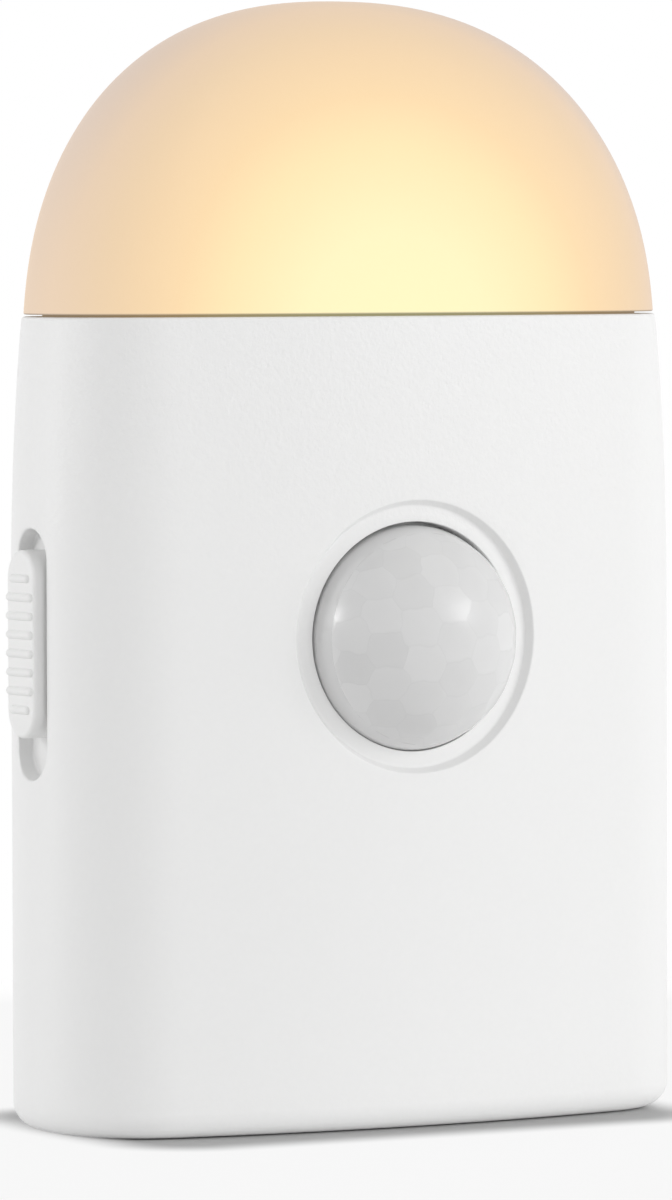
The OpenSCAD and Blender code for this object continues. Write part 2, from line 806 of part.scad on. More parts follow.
// Outer form of the lens, turned about its axis
module lens_form() {
    translate([0, 0, lens_z]) rotate([90, 0, 0]) translate([0, 0, -seat_y]) rotate_extrude() {
        translate([0, -flange_t]) square([flange_r, flange_t]);
        square([lens_r, seat_y - lens_base_y - over / 2]);
        intersection() {
            translate([0, seat_y - lens_ball_y]) circle(lens_ball_r, $fn = 128);
            translate([0, seat_y - lens_base_y - over]) square([lens_r, lens_rise + 2 * over]);
        }
    }
}

// Hollow of the lens, before its cells
module lens_hollow() {
    translate([0, 0, lens_z]) rotate([90, 0, 0]) translate([0, 0, -seat_y]) rotate_extrude() {
        translate([0, -flange_t - over]) square([lens_throat_r, flange_t + over / 2 + seat_y - lens_base_y]);
        intersection() {
            translate([0, seat_y - lens_ball_y]) circle(lens_ball_r - lens_wall, $fn = 128);
            translate([0, seat_y - lens_base_y - over]) square([lens_throat_r, lens_rise + 2 * over]);
        }
    }
}

// One cell of the lens, at u across and v up from the axis, measured along the inner face
module lenslet(u, v) {
    tilt = norm([u, v]) / (lens_ball_r - lens_wall) * 180 / PI;
    translate([0, lens_ball_y, lens_z]) rotate([0, atan2(-u, -v), 0]) rotate([tilt, 0, 0])
        translate([0, -lens_ball_r + lens_wall + cell_bulge - lenslet_r, 0]) sphere(lenslet_r);
}

module fresnel_lens() {
    color("gainsboro") difference() {
        lens_form();
        difference() {
            lens_hollow();
            for (c = [-cell_columns:cell_columns]) for (k = [-cell_rows:cell_rows])
                let (u = c * column_pitch, v = (k + (c % 2 == 0 ? 0 : 0.5)) * cell_pitch)
                if (norm([u, v]) < cell_field) lenslet(u, v);
        }
    }
}

module lens_retainer() {
    color("white") difference() {
        rod(0, lens_z, seat_y + flange_t, board_front_y, retainer_r);
        rod(0, lens_z, seat_y + flange_t - over, board_front_y + over, retainer_bore);
    }
}

module light_sensor() {
    y = board_front_y - photo_h;
    color("lightgray") {
        rod(photo_x, lens_z, board_front_y - 3 * photo_rim, board_front_y, photo_r + photo_rim);
        rod(photo_x, lens_z, y, board_front_y, photo_r);
        translate([photo_x, y, lens_z]) sphere(photo_r);
    }
}

module control_chip() {
    half = chip_size / 2;
    color("black") {
        box([chip_x - half.x, board_front_y - chip_size.y, chip_z - half.z],
            [chip_x + half.x, board_front_y - fit, chip_z + half.z]);
        for (k = [-3.5:3.5]) let (z = chip_z + lead_pitch * k)
            box([chip_x - lead_span / 2, board_front_y - lead_t, z - lead_t / 2],
                [chip_x + lead_span / 2, board_front_y, z + lead_t / 2]);
    }
}

module capacitor() {
    color("darkslategray") difference() {
        rod(cap_x, cap_z, board_front_y - cap_h, board_front_y, cap_r);
        translate([cap_x, board_front_y - cap_h + 3 * cap_groove, cap_z]) rotate([90, 0, 0])
            rotate_extrude() translate([cap_r, 0]) circle(cap_groove);
    }
}

module switch_can() {
    color("silver") difference() {
        box([can_x, board_rear_y, switch_z - can_l / 2],
            [can_x + can_h, board_rear_y + can_w, switch_z + can_l / 2]);
        box([can_x + can_t, board_rear_y + can_t, switch_z - can_l / 2 + can_t],
            [can_x + can_h - can_t, board_rear_y + can_w - can_t, switch_z + can_l / 2 - can_t]);
        box([can_x - over, switch_y - lever_t / 2 - fit, switch_z - (lever_t + throw) / 2 - fit],
            [can_x + over, switch_y + lever_t / 2 + fit, switch_z + (lever_t + throw) / 2 + fit]);
    }
}

module switch_lever() {
    color("black") {
        box([-half_w + knob_in - socket_d + fit, switch_y - lever_t / 2, knob_z - lever_t / 2],
            [can_x + can_t + fit + carriage_t, switch_y + lever_t / 2, knob_z + lever_t / 2]);
        box([can_x + can_t + fit, board_rear_y + can_t + fit, knob_z - carriage_l / 2],
            [can_x + can_t + fit + carriage_t, board_rear_y + can_w - can_t - fit,
                knob_z + carriage_l / 2]);
    }
}

// Half profile of the knob, with its outer edge rounded
module knob_profile() {
    h = knob_in + knob_out;
    r = knob_w / 2;
    square([r, h - knob_round]);
    translate([0, h - knob_round]) square([r - knob_round, knob_round]);
    quarter([r - knob_round, h - knob_round], knob_round, true);
}

module slider_knob() {
    straight = knob_l - knob_w;
    color("white") on_left_side(knob_z) difference() {
        union() {
            translate([0, 0, -knob_in]) {
                for (s = [0, 1]) mirror([0, s]) translate([0, straight / 2]) rotate_extrude(angle = 180)
                    knob_profile();
                for (s = [0, 1]) mirror([s, 0]) translate([0, straight / 2]) rotate([90, 0, 0])
                    linear_extrude(straight) knob_profile();
            }
            for (k = [0:rib_count - 1]) {
                end = k == 0 || k == rib_count - 1;
                translate([0, (k - (rib_count - 1) / 2) * rib_pitch, knob_out - 0.1]) rotate([0, 90, 0])
                    cylinder(r = rib_r, h = end ? 0.75 * rib_l : rib_l, center = true);
            }
        }
        translate([0, 0, -knob_in - over]) linear_extrude(socket_d + over)
            square(lever_t + 2 * fit, center = true);
    }
}

// Cell with its negative end at z and its button above, or below where up is false
module cell(x, z, up) {
    color("darkorange") translate([x, cell_y, z]) mirror([0, 0, up ? 0 : 1]) {
        rotate_extrude() {
            square([cell_d / 2 - cell_edge, cell_l - button_h]);
            translate([0, cell_edge]) square([cell_d / 2, cell_l - button_h - 2 * cell_edge]);
            square([button_r, cell_l]);
        }
    }
}

module cell_left() {
    cell(-bay_pitch, bay_z + seat_gap, true);
}

module cell_middle() {
    cell(0, bay_top_z - seat_gap, false);
}

module cell_right() {
    cell(bay_pitch, bay_z + seat_gap, true);
}

// Contact spring on its plate at z, rising, or hanging where up is false
module contact_spring(x, z, up) {
    color("silver") translate([x, cell_y, z]) mirror([0, 0, up ? 0 : 1])
        coil(spring_path(), spring_wire / 2);
}

module spring_left() {
    contact_spring(-bay_pitch, bay_z + plate_t, true);
}

module spring_middle() {
    contact_spring(0, bay_top_z - plate_t, false);
}

module spring_right() {
    contact_spring(bay_pitch, bay_z + plate_t, true);
}

// Contact plate between two places across the bay, on the wall at z
module contact_plate(x0, x1, z) {
    box([x0 - plate_half, cell_y - plate_half, z], [x1 + plate_half, cell_y + plate_half, z + plate_t]);
}

// Raised button of a plate at x, rising from z, or hanging where up is false
module emboss(x, z, up) {
    translate([x, cell_y, up ? z - touch : z - emboss_h])
        cylinder(r1 = up ? 1.8 : 1.2, r2 = up ? 1.2 : 1.8, h = emboss_h + touch);
}

module positive_terminal() {
    color("silver") {
        contact_plate(-bay_pitch, -bay_pitch, bay_top_z - plate_t);
        emboss(-bay_pitch, bay_top_z - plate_t, false);
        box([-bay_pitch - tail_w / 2, board_rear_y, bay_top_z - plate_t],
            [-bay_pitch + tail_w / 2, cell_y, bay_top_z]);
    }
}

module negative_terminal() {
    strip_y = bay_front_y - fit - plate_t;
    x0 = bay_pitch - tail_w / 2;
    x1 = bay_pitch + tail_w / 2;
    color("silver") {
        contact_plate(bay_pitch, bay_pitch, bay_z);
        box([x0, strip_y, bay_z], [x1, cell_y, bay_z + plate_t]);
        box([x0, strip_y, bay_z], [x1, strip_y + plate_t, board_low_z + 3]);
        box([x0, board_rear_y, board_low_z + 3 - plate_t], [x1, strip_y + plate_t, board_low_z + 3]);
    }
}

module lower_bridge() {
    color("silver") {
        contact_plate(-bay_pitch, 0, bay_z);
        emboss(0, bay_z + plate_t, true);
    }
}

module upper_bridge() {
    color("silver") {
        contact_plate(0, bay_pitch, bay_top_z - plate_t);
        emboss(bay_pitch, bay_top_z - plate_t, false);
    }
}

// Square pin of the given half width at x, from z0 to z1
module link_pin(x, half, z0, z1) {
    box([x - half, link_y - half, z0], [x + half, link_y + half, z1]);
}

module link_header() {
    edge = link_pitch / 2;
    color("black") difference() {
        box([link_x[0] - edge, board_rear_y, link_z],
            [link_x[1] + edge, bay_front_y - slack, link_z + header_h]);
        for (x = link_x) link_pin(x, pin_side / 2 + touch, link_z - over, link_z + header_h + over);
    }
}

module link_pins() {
    color("gold") for (x = link_x) link_pin(x, pin_side / 2, link_z - over, led_board_top - led_board_t);
}

module rear_screws() {
    color("silver") at_rear_screws() difference() {
        union() {
            rod(0, 0, head_y - screw_l, head_y + touch, screw_r);
            rod(0, 0, head_y, head_y + head_h, head_r);
        }
        cross_recess(head_y + head_h);
    }
}

module board_screws() {
    color("silver") at_board_screws() difference() {
        union() {
            rod(0, 0, board_rear_y - board_screw_l, board_rear_y + touch, screw_r);
            rod(0, 0, board_rear_y, board_rear_y + board_head_h, board_head_r);
        }
        cross_recess(board_rear_y + board_head_h);
    }
}

// Cross recess in a screw head whose face is at y
module cross_recess(y) {
    for (w = [[recess_l, recess_w], [recess_w, recess_l]])
        box([-w[0], y - recess_d, -w[1]], [w[0], y + over, w[1]]);
}

front_shell();
rear_cover();
battery_door();
dome_diffuser();
reflector_tray();
led_board();
warm_leds();
main_board();
pir_sensor();
sensor_window();
fresnel_lens();
lens_retainer();
light_sensor();
control_chip();
capacitor();
switch_can();
switch_lever();
slider_knob();
cell_left();
cell_middle();
cell_right();
spring_left();
spring_middle();
spring_right();
positive_terminal();
negative_terminal();
lower_bridge();
upper_bridge();
link_header();
link_pins();
rear_screws();
board_screws();
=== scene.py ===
import math

import bmesh
import bpy
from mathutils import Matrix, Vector


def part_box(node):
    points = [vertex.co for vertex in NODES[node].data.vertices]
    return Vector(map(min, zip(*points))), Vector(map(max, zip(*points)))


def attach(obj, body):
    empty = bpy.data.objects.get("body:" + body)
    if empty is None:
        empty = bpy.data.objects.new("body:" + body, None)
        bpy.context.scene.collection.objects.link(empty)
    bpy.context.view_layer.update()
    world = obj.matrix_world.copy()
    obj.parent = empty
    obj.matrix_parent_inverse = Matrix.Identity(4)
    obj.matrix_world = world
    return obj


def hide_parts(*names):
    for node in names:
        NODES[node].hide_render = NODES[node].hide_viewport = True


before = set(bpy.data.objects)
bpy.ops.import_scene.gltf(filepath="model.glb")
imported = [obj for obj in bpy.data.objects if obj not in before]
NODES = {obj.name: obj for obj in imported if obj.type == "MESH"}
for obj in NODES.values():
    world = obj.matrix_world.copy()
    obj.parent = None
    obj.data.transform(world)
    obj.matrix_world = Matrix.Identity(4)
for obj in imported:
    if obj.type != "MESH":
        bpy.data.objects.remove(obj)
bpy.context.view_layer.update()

MM = 0.001
QUARTER, HALF_TURN, FULL_TURN = math.pi / 2, math.pi, 2 * math.pi

# Sizes in millimetres that are the same as in the part's source
HALF_W, FRONT_Y, BACK_Y, BODY_H = 33.0, -15.0, 15.0, 75.4
FRONT_R, FRONT_CORNER_R, SIDE_FLAT = 128.0, 11.0, 1.6
WALL, FOOT_R = 1.8, 2.4
CROWN_H, CROWN_IN = 25.4, 1.06
PARTING_Y = 9.0
SEAM_GAP, DOME_STEP, SPIGOT_FIT = 0.2, 0.2, 0.15
DOME_H, DOME_WALL, DOME_POWER, DOME_DRAFT, APEX_BACK = 29.2, 2.0, 2.3, 0.07, 0.9
DOME_Z, DOME_IN = BODY_H + SEAM_GAP, CROWN_IN + DOME_STEP
SPIGOT_IN, SPIGOT_T, SPIGOT_H = CROWN_IN + WALL + SPIGOT_FIT, 1.6, 4.3
BEAD_OUT, BEAD_H, LEDGE_H = 0.9, 0.8, 2.0
LENS_Z, LENS_RISE, LENS_WALL = 45.7, 8.2, 0.9
HOLE_R, LAND_RISE = 10.65, 0.15
FLANGE_SEAT, FLANGE_R, FLANGE_T = 2.6, 12.7, 1.0
SEAT_Y = FRONT_Y + FLANGE_SEAT
CUP_FIT, CUP_D, CUP_WALL = 0.1, 1.4, 1.5
CELL_PITCH, COLUMN_PITCH = 3.5, 3.4
SWITCH_Y, SWITCH_Z, HALF_THROW = -0.3, 44.3, 1.0
SLOT_L, SLOT_W, SLOT_D, POCKET_T = 23.2, 6.0, 1.85, 1.2
KNOB_L, KNOB_W, KNOB_IN, KNOB_OUT, KNOB_ROUND = 17.4, 5.4, 1.6, 1.0, 0.4
KNOB_Z = SWITCH_Z + HALF_THROW
RIB_COUNT, RIB_PITCH, RIB_R, RIB_L = 8, 1.73, 0.45, 5.0
SPRING_H, SPRING_WIRE, SPRING_TURNS, SPRING_R, SPRING_TIP_R = 5.0, 0.6, 4, 4.0, 2.2

# Sizes fitted to the photo, which differ from the source or which only the scene has
LENS_R, LENS_DROP, LENS_LIFT = 10.49, 0.16, 0.15
LAND_W, LAND_D, SLOPE_W = 1.55, 0.9, 0.48
LAND_R, BROW_R, HOLE_D = HOLE_R + LAND_W, HOLE_R + LAND_W + SLOPE_W, LAND_D - LAND_RISE
CELL_FIELD, CELL_TURN = 12.3, math.radians(6.0)
FACET_FLATNESS, FIELD_STEP = 0.24, 0.06

# Plan outline, worked out from those sizes
FRONT_CY = FRONT_Y + FRONT_R
FRONT_CX = HALF_W - FRONT_CORNER_R
FRONT_TURN = math.asin(FRONT_CX / (FRONT_R - FRONT_CORNER_R))
CORNER_Y = FRONT_CY - (FRONT_R - FRONT_CORNER_R) * math.cos(FRONT_TURN)
REAR_CY = CORNER_Y + SIDE_FLAT
REAR_R = BACK_Y - REAR_CY
REAR_CX = HALF_W - REAR_R
CROWN_Z = BODY_H - CROWN_H
CROWN_R = (CROWN_H ** 2 + CROWN_IN ** 2) / (2 * CROWN_IN)
LENS_BALL_R = (LENS_R ** 2 + LENS_RISE ** 2) / (2 * LENS_RISE)
LENS_BASE_Y = FRONT_CY - math.sqrt(FRONT_R ** 2 - HOLE_R ** 2) + HOLE_D - LENS_LIFT
LENS_BALL_Y = LENS_BASE_Y - LENS_RISE + LENS_BALL_R

# Angles in degrees above which an edge is sharp, and the weight of large faces in the normals
SHELL_SHARP, DOME_SHARP, ROUND_SHARP = 38.0, 50.0, 60.0
NORMAL_WEIGHT = 60


class Shape:
    """Points in millimetres and the faces between them."""

    def __init__(self):
        self.points = []
        self.faces = []

    def add(self, points):
        start = len(self.points)
        self.points.extend(points)
        return list(range(start, len(self.points)))

    def strip(self, a, b, closed=True):
        n = len(a)
        for k in range(n if closed else n - 1):
            m = (k + 1) % n
            self.faces.append((a[k], a[m], b[m], b[k]))

    def cap(self, loop):
        self.faces.append(tuple(loop))

    def fan(self, loop, tip):
        top = self.add([tip])[0]
        for k in range(len(loop)):
            self.faces.append((loop[k], loop[(k + 1) % len(loop)], top))

    def tube(self, loops):
        rows = [self.add(loop) for loop in loops]
        for a, b in zip(rows, rows[1:]):
            self.strip(a, b)
        return rows


def make_piece(name, shape, finish, body, stands_for, sharp):
    """Turns a shape into a mesh piece that rides on a body and stands for CAD nodes."""
    mesh = bpy.data.meshes.new(name)
    points = [(x * MM, y * MM, z * MM) for x, y, z in shape.points]
    mesh.from_pydata(points, [], shape.faces)
    bm = bmesh.new()
    bm.from_mesh(mesh)
    bmesh.ops.recalc_face_normals(bm, faces=bm.faces)
    bm.to_mesh(mesh)
    bm.free()
    mesh.shade_smooth()
    mesh.set_sharp_from_angle(angle=math.radians(sharp))
    mesh.materials.append(finish)
    piece = bpy.data.objects.new(name, mesh)
    bpy.context.scene.collection.objects.link(piece)
    even = piece.modifiers.new("even_normals", "WEIGHTED_NORMAL")
    even.keep_sharp = True
    even.weight = NORMAL_WEIGHT
    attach(piece, body)
    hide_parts(*stands_for)


def mix(a, b, t):
    return tuple(p + (q - p) * t for p, q in zip(a, b))


def steps(a, b, n, last=True):
    return [a + (b - a) * k / n for k in range(n + 1 if last else n)]


# Plan outline: each station is a place on it, which plan() gives for any inset
def plan(station, inset):
    kind, side, share = station
    if kind == "front":
        r = FRONT_R - inset
        return r * math.sin(share), FRONT_CY - r * math.cos(share)
    if kind == "corner":
        r = FRONT_CORNER_R - inset
        return side * (FRONT_CX + r * math.cos(share)), CORNER_Y - r * math.sin(share)
    if kind == "flat":
        return side * (HALF_W - inset), share
    if kind == "parted":
        r = REAR_R - inset
        turn = share * math.asin((PARTING_Y - REAR_CY) / r)
        return side * (REAR_CX + r * math.cos(turn)), REAR_CY + r * math.sin(turn)
    if kind == "rear":
        r = REAR_R - inset
        return side * (REAR_CX + r * math.cos(share)), REAR_CY + r * math.sin(share)
    return share, BACK_Y - inset


def front_at(x, inset):
    """Y of the front face at x."""
    return FRONT_CY - math.sqrt((FRONT_R - inset) ** 2 - x * x)


def side_at(y, inset):
    """Half width of the outline at y."""
    if y > REAR_CY:
        return REAR_CX + math.sqrt((REAR_R - inset) ** 2 - (y - REAR_CY) ** 2)
    if y < CORNER_Y:
        return FRONT_CX + math.sqrt((FRONT_CORNER_R - inset) ** 2 - (y - CORNER_Y) ** 2)
    return HALF_W - inset


def lean(z):
    """How far the crown leans in at height z."""
    h = max(z - CROWN_Z, 0.0)
    return CROWN_R - math.sqrt(CROWN_R * CROWN_R - h * h)


# Front shell: a grid round the front, with the lens bezel and the switch slot let into it.
# The lens area is a square of the grid, and the slot area leaves out SLOT_ROW_IN of its rows.
LENS_HALF, LENS_STEPS = 17.0, 40
SLOT_BACK_SHARE, SLOT_FRONT_Y = 0.62, -6.4
SLOT_FRONT_TURN = math.asin((CORNER_Y - SLOT_FRONT_Y) / FRONT_CORNER_R)
SLOT_ROW_IN = (5, 2)
TOP_EDGE = 0.3
# Steps across the stretches of the outline, and up the outer and inner faces
REAR_STEPS, SLOT_STEPS, FLAT_STEPS, TURN_STEPS, CORNER_STEPS, BESIDE_STEPS = 6, 8, 2, 6, 12, 6
EDGE_STEPS, ABOVE_STEPS, BELOW_STEPS, FOOT_STEPS = 4, 8, 16, 7
INNER_ABOVE_STEPS, INNER_BELOW_STEPS = 4, 6


def front_stations():
    """Places round the front between the parting lines, and the slot's and lens's columns."""
    corner_end = QUARTER - FRONT_TURN
    lens_turn = math.asin(LENS_HALF / FRONT_R)
    left = [("parted", -1, s) for s in steps(1.0, SLOT_BACK_SHARE, REAR_STEPS, False)]
    slot_start = len(left)
    left += [("parted", -1, s) for s in steps(SLOT_BACK_SHARE, 0.0, SLOT_STEPS, False)]
    left += [("flat", -1, y) for y in steps(REAR_CY, CORNER_Y, FLAT_STEPS, False)]
    left += [("corner", -1, a) for a in steps(0.0, SLOT_FRONT_TURN, TURN_STEPS, False)]
    slot_end = len(left)
    left += [("corner", -1, a) for a in steps(SLOT_FRONT_TURN, corner_end, CORNER_STEPS, False)]
    left += [("front", 0, a) for a in steps(-FRONT_TURN, -lens_turn, BESIDE_STEPS, False)]
    lens_start = len(left)
    across = steps(-LENS_HALF, LENS_HALF, LENS_STEPS)
    middle = [("front", 0, math.asin(x / FRONT_R)) for x in across]
    right = [("front", 0, a) for a in steps(FRONT_TURN, lens_turn, BESIDE_STEPS, False)][::-1]
    right += [("corner", 1, a) for a in steps(corner_end, 0.0, TURN_STEPS + CORNER_STEPS)][1:]
    right += [("flat", 1, y) for y in steps(CORNER_Y, REAR_CY, FLAT_STEPS)][1:]
    right += [("parted", 1, s) for s in steps(0.0, 1.0, REAR_STEPS + SLOT_STEPS)][1:]
    return left + middle + right, (slot_start, slot_end), (lens_start, lens_start + LENS_STEPS)


def ring_of(rows, r0, r1, c0, c1):
    """Point numbers round a rectangle of a grid."""
    top = [rows[r0][c] for c in range(c0, c1)]
    right = [rows[r][c1] for r in range(r0, r1)]
    bottom = [rows[r1][c] for c in range(c1, c0, -1)]
    left = [rows[r][c0] for r in range(r1, r0, -1)]
    return top + right + bottom + left


def grid(shape, rows, holes):
    """Faces between rows of points, apart from the holes."""
    for r in range(len(rows) - 1):
        for c in range(len(rows[r]) - 1):
            if not any(r0 <= r < r1 and c0 <= c < c1 for r0, r1, c0, c1 in holes):
                shape.cap((rows[r][c], rows[r][c + 1], rows[r + 1][c + 1], rows[r + 1][c]))


# Skin round the bezel: how the square of the grid turns into a circle
ROUND_R, ROUND_SHARES, SKIN_R = 14.0, (0.3, 0.6, 0.85), 13.7
# Bezel as radius and depth: a rounded brow, a slope, the land and the edge of the hole
BEZEL = [(BROW_R + 0.14, 0.0), (BROW_R + 0.05, 0.012), (BROW_R - 0.02, 0.05),
         (BROW_R - 0.07, 0.12), (LAND_R + 0.07, LAND_D - 0.12), (LAND_R, LAND_D - 0.05),
         (LAND_R - 0.1, LAND_D - 0.02), (LAND_R - 0.24, LAND_D - 0.02),
         (LAND_R - 0.8, LAND_D - 0.085), (HOLE_R + 0.12, HOLE_D + 0.015),
         (HOLE_R + 0.06, HOLE_D + 0.025), (HOLE_R + 0.02, HOLE_D + 0.06), (HOLE_R, HOLE_D + 0.12)]
# Cup for the flange behind the hole, as radius and place
CUP_R = FLANGE_R + CUP_FIT
CUP_OUT_R = FLANGE_R + CUP_WALL
CUP = [(HOLE_R, SEAT_Y), (CUP_R, SEAT_Y), (CUP_R, SEAT_Y + CUP_D), (CUP_OUT_R, SEAT_Y + CUP_D)]


def lens_loops(outer):
    """Loops from the skin through the bezel and the lens seat to the inner skin."""
    turns = [math.atan2(z - LENS_Z, x) for x, _, z in outer]

    def ring(r, place):
        return [place(r * math.cos(a), LENS_Z + r * math.sin(a)) for a in turns]

    def skin(depth, inset):
        share = 1.0 - depth / LAND_D
        return lambda x, z: (x, front_at(x, inset + lean(z) * max(share, 0.0)) + depth, z)

    loops = []
    for t in ROUND_SHARES:
        loop = []
        for (x, _, z), a in zip(outer, turns):
            circle = (ROUND_R * math.cos(a), LENS_Z + ROUND_R * math.sin(a))
            px, pz = mix((x, z), circle, t)
            loop.append((px, front_at(px, lean(pz)), pz))
        loops.append(loop)
    loops.append(ring(SKIN_R, skin(0.0, 0.0)))
    loops += [ring(r, skin(d, 0.0)) for r, d in BEZEL]
    loops += [ring(r, lambda x, z, y=y: (x, y, z)) for r, y in CUP]
    loops.append(ring(CUP_OUT_R, skin(0.0, WALL)))
    return loops


SAME_PLACE = 1e-6


def stadium(points, half_straight, r):
    """Place and outward direction on a long hole for each point of the ring round it."""
    rel = [(y - SWITCH_Y, z - SWITCH_Z) for _, y, z in points]
    high = max(z for _, z in rel)
    wide = max(y for y, _ in rel)
    narrow = min(y for y, _ in rel)
    low = min(z for _, z in rel)
    found = []
    for y, z in rel:
        if abs(z) <= half_straight:
            side = 1 if y > 0 else -1
            found.append(((side * r, z), (side, 0.0)))
            continue
        end = high if z > 0 else -low
        rise, reach = end - half_straight, wide - narrow
        if abs(abs(z) - end) < SAME_PLACE:
            along = rise + wide - y
        else:
            along = abs(z) - half_straight if y > 0 else rise + reach + end - abs(z)
        turn = HALF_TURN * along / (2 * rise + reach)
        up = 1 if z > 0 else -1
        n = (math.cos(turn), up * math.sin(turn))
        found.append(((r * n[0], up * half_straight + r * n[1]), n))
    return found


# Slot edge as distance out and depth, the same at its floor as a height over it, and the lever hole
SLOT_EDGE = [(1.3, 0.0), (0.5, 0.0), (0.26, 0.01), (0.12, 0.05), (0.04, 0.12), (0.0, 0.26)]
SLOT_FLOOR_EDGE = [(0.0, 0.3), (-0.03, 0.12), (-0.12, 0.03), (-0.3, 0.0)]
SLOT_SKIN_SHARES, SLOT_FLOOR_SHARES = (0.35, 0.7), (0.4, 0.8, 1.0)
LEVER_HOLE_HALF_W, LEVER_HOLE_HALF_L = 1.1, 2.1


def slot_loops(outer):
    """Loops from the skin over the slot's edge, to its floor, through the lever hole and back."""
    half = (SLOT_L - SLOT_W) / 2
    edge = stadium(outer, half, SLOT_W / 2)
    hole = [((p[0] * LEVER_HOLE_HALF_W / (SLOT_W / 2), p[1] * LEVER_HOLE_HALF_L / (SLOT_L / 2)), n)
            for p, n in edge]

    def ring(base, out, place):
        loop = []
        for (p, n) in base:
            y, z = SWITCH_Y + p[0] + n[0] * out, SWITCH_Z + p[1] + n[1] * out
            loop.append((place(y, z), y, z))
        return loop

    def skin(depth, inset=0.0):
        return lambda y, z: depth - side_at(y, inset + lean(z))

    def flat(depth):
        return lambda y, z: depth - HALF_W

    loops = []
    for t in SLOT_SKIN_SHARES:
        loop = []
        for (_, y, z), (p, n) in zip(outer, edge):
            py, pz = mix((y, z), (SWITCH_Y + p[0] + n[0], SWITCH_Z + p[1] + n[1]), t)
            loop.append((-side_at(py, lean(pz)), py, pz))
        loops.append(loop)
    loops += [ring(edge, o, skin(d)) for o, d in SLOT_EDGE]
    loops += [ring(edge, o, flat(SLOT_D - d)) for o, d in SLOT_FLOOR_EDGE]
    for t in SLOT_FLOOR_SHARES:
        part = [(mix(p, q, t), n) for (p, n), (q, _) in zip(edge, hole)]
        loops.append(ring(part, 0.0, flat(SLOT_D)))
    loops.append(ring(hole, 0.0, flat(SLOT_D + POCKET_T)))
    loops.append(ring(edge, POCKET_T, flat(SLOT_D + POCKET_T)))
    loops.append(ring(edge, POCKET_T, skin(0.0, WALL)))
    return loops


def build_front_shell(finish):
    """Front shell: outer and inner grids, joined through the lens hole, the slot and the rims."""
    shape = Shape()
    stations, slot_cols, lens_cols = front_stations()
    lens_rows = steps(LENS_Z + LENS_HALF, LENS_Z - LENS_HALF, LENS_STEPS)
    edge = [(CROWN_IN + TOP_EDGE * (1 - math.sin(a)), BODY_H - TOP_EDGE * (1 - math.cos(a)))
            for a in steps(0.0, QUARTER, EDGE_STEPS)]
    above = [(lean(z), z) for z in steps(BODY_H - TOP_EDGE, lens_rows[0], ABOVE_STEPS)][1:]
    below = [(lean(z), z) for z in lens_rows[1:]]
    below += [(0.0, z) for z in steps(lens_rows[-1], FOOT_R, BELOW_STEPS)][1:]
    foot = [(FOOT_R * (1 - math.cos(a)), FOOT_R * (1 - math.sin(a)))
            for a in steps(0.0, QUARTER, FOOT_STEPS)][1:]
    outside = edge + above + below + foot
    first = len(edge) + len(above) - 1
    inside = [(lean(z) + WALL, z) for z in steps(BODY_H, lens_rows[0], INNER_ABOVE_STEPS)]
    inner_first = len(inside) - 1
    inside += [(lean(z) + WALL, z) for z in lens_rows[1:]]
    inside += [(WALL, z) for z in steps(lens_rows[-1], WALL, INNER_BELOW_STEPS)][1:]

    def lay(rows):
        return [shape.add([(*plan(s, i), z) for s in stations]) for i, z in rows]

    outer, inner = lay(outside), lay(inside)
    rows_above, rows_below = SLOT_ROW_IN
    spans = [(0, LENS_STEPS, *lens_cols), (rows_above, LENS_STEPS - rows_below, *slot_cols)]
    for rows, top in ((outer, first), (inner, inner_first)):
        grid(shape, rows, [(top + r0, top + r1, c0, c1) for r0, r1, c0, c1 in spans])
    for (r0, r1, c0, c1), make_loops in zip(spans, (lens_loops, slot_loops)):
        out_ring = ring_of(outer, first + r0, first + r1, c0, c1)
        in_ring = ring_of(inner, inner_first + r0, inner_first + r1, c0, c1)
        rows = shape.tube(make_loops([shape.points[k] for k in out_ring]))
        shape.strip(out_ring, rows[0])
        shape.strip(rows[-1], in_ring)
    shape.strip(outer[0], inner[0], closed=False)
    shape.cap(outer[-1])
    shape.cap(inner[-1])
    shape.cap((outer[-1][0], outer[-1][-1], inner[-1][-1], inner[-1][0]))
    for c in (0, -1):
        shape.cap([row[c] for row in outer] + [row[c] for row in inner[::-1]])
    make_piece("front_shell_moulding", shape, finish, "housing", ["front_shell"],
               SHELL_SHARP)


OUTLINE_FRONT, OUTLINE_CORNER, OUTLINE_FLAT, OUTLINE_REAR, OUTLINE_BACK = 40, 18, 2, 24, 20


def outline_stations():
    """Places all round the outline."""
    corner_end = QUARTER - FRONT_TURN
    found = [("front", 0, a) for a in steps(-FRONT_TURN, FRONT_TURN, OUTLINE_FRONT, False)]
    found += [("corner", 1, a) for a in steps(corner_end, 0.0, OUTLINE_CORNER, False)]
    found += [("flat", 1, y) for y in steps(CORNER_Y, REAR_CY, OUTLINE_FLAT, False)]
    found += [("rear", 1, a) for a in steps(0.0, QUARTER, OUTLINE_REAR, False)]
    found += [("back", 0, x) for x in steps(REAR_CX, -REAR_CX, OUTLINE_BACK, False)]
    found += [("rear", -1, a) for a in steps(QUARTER, 0.0, OUTLINE_REAR, False)]
    found += [("flat", -1, y) for y in steps(REAR_CY, CORNER_Y, OUTLINE_FLAT, False)]
    found += [("corner", -1, a) for a in steps(0.0, corner_end, OUTLINE_CORNER, False)]
    return found


DOME_EDGE = 0.18
DOME_TOP, DOME_INNER_TOP = math.radians(89.2), math.radians(89)
DOME_ROWS, DOME_EDGE_ROWS, DOME_INNER_ROWS = 44, 3, 30


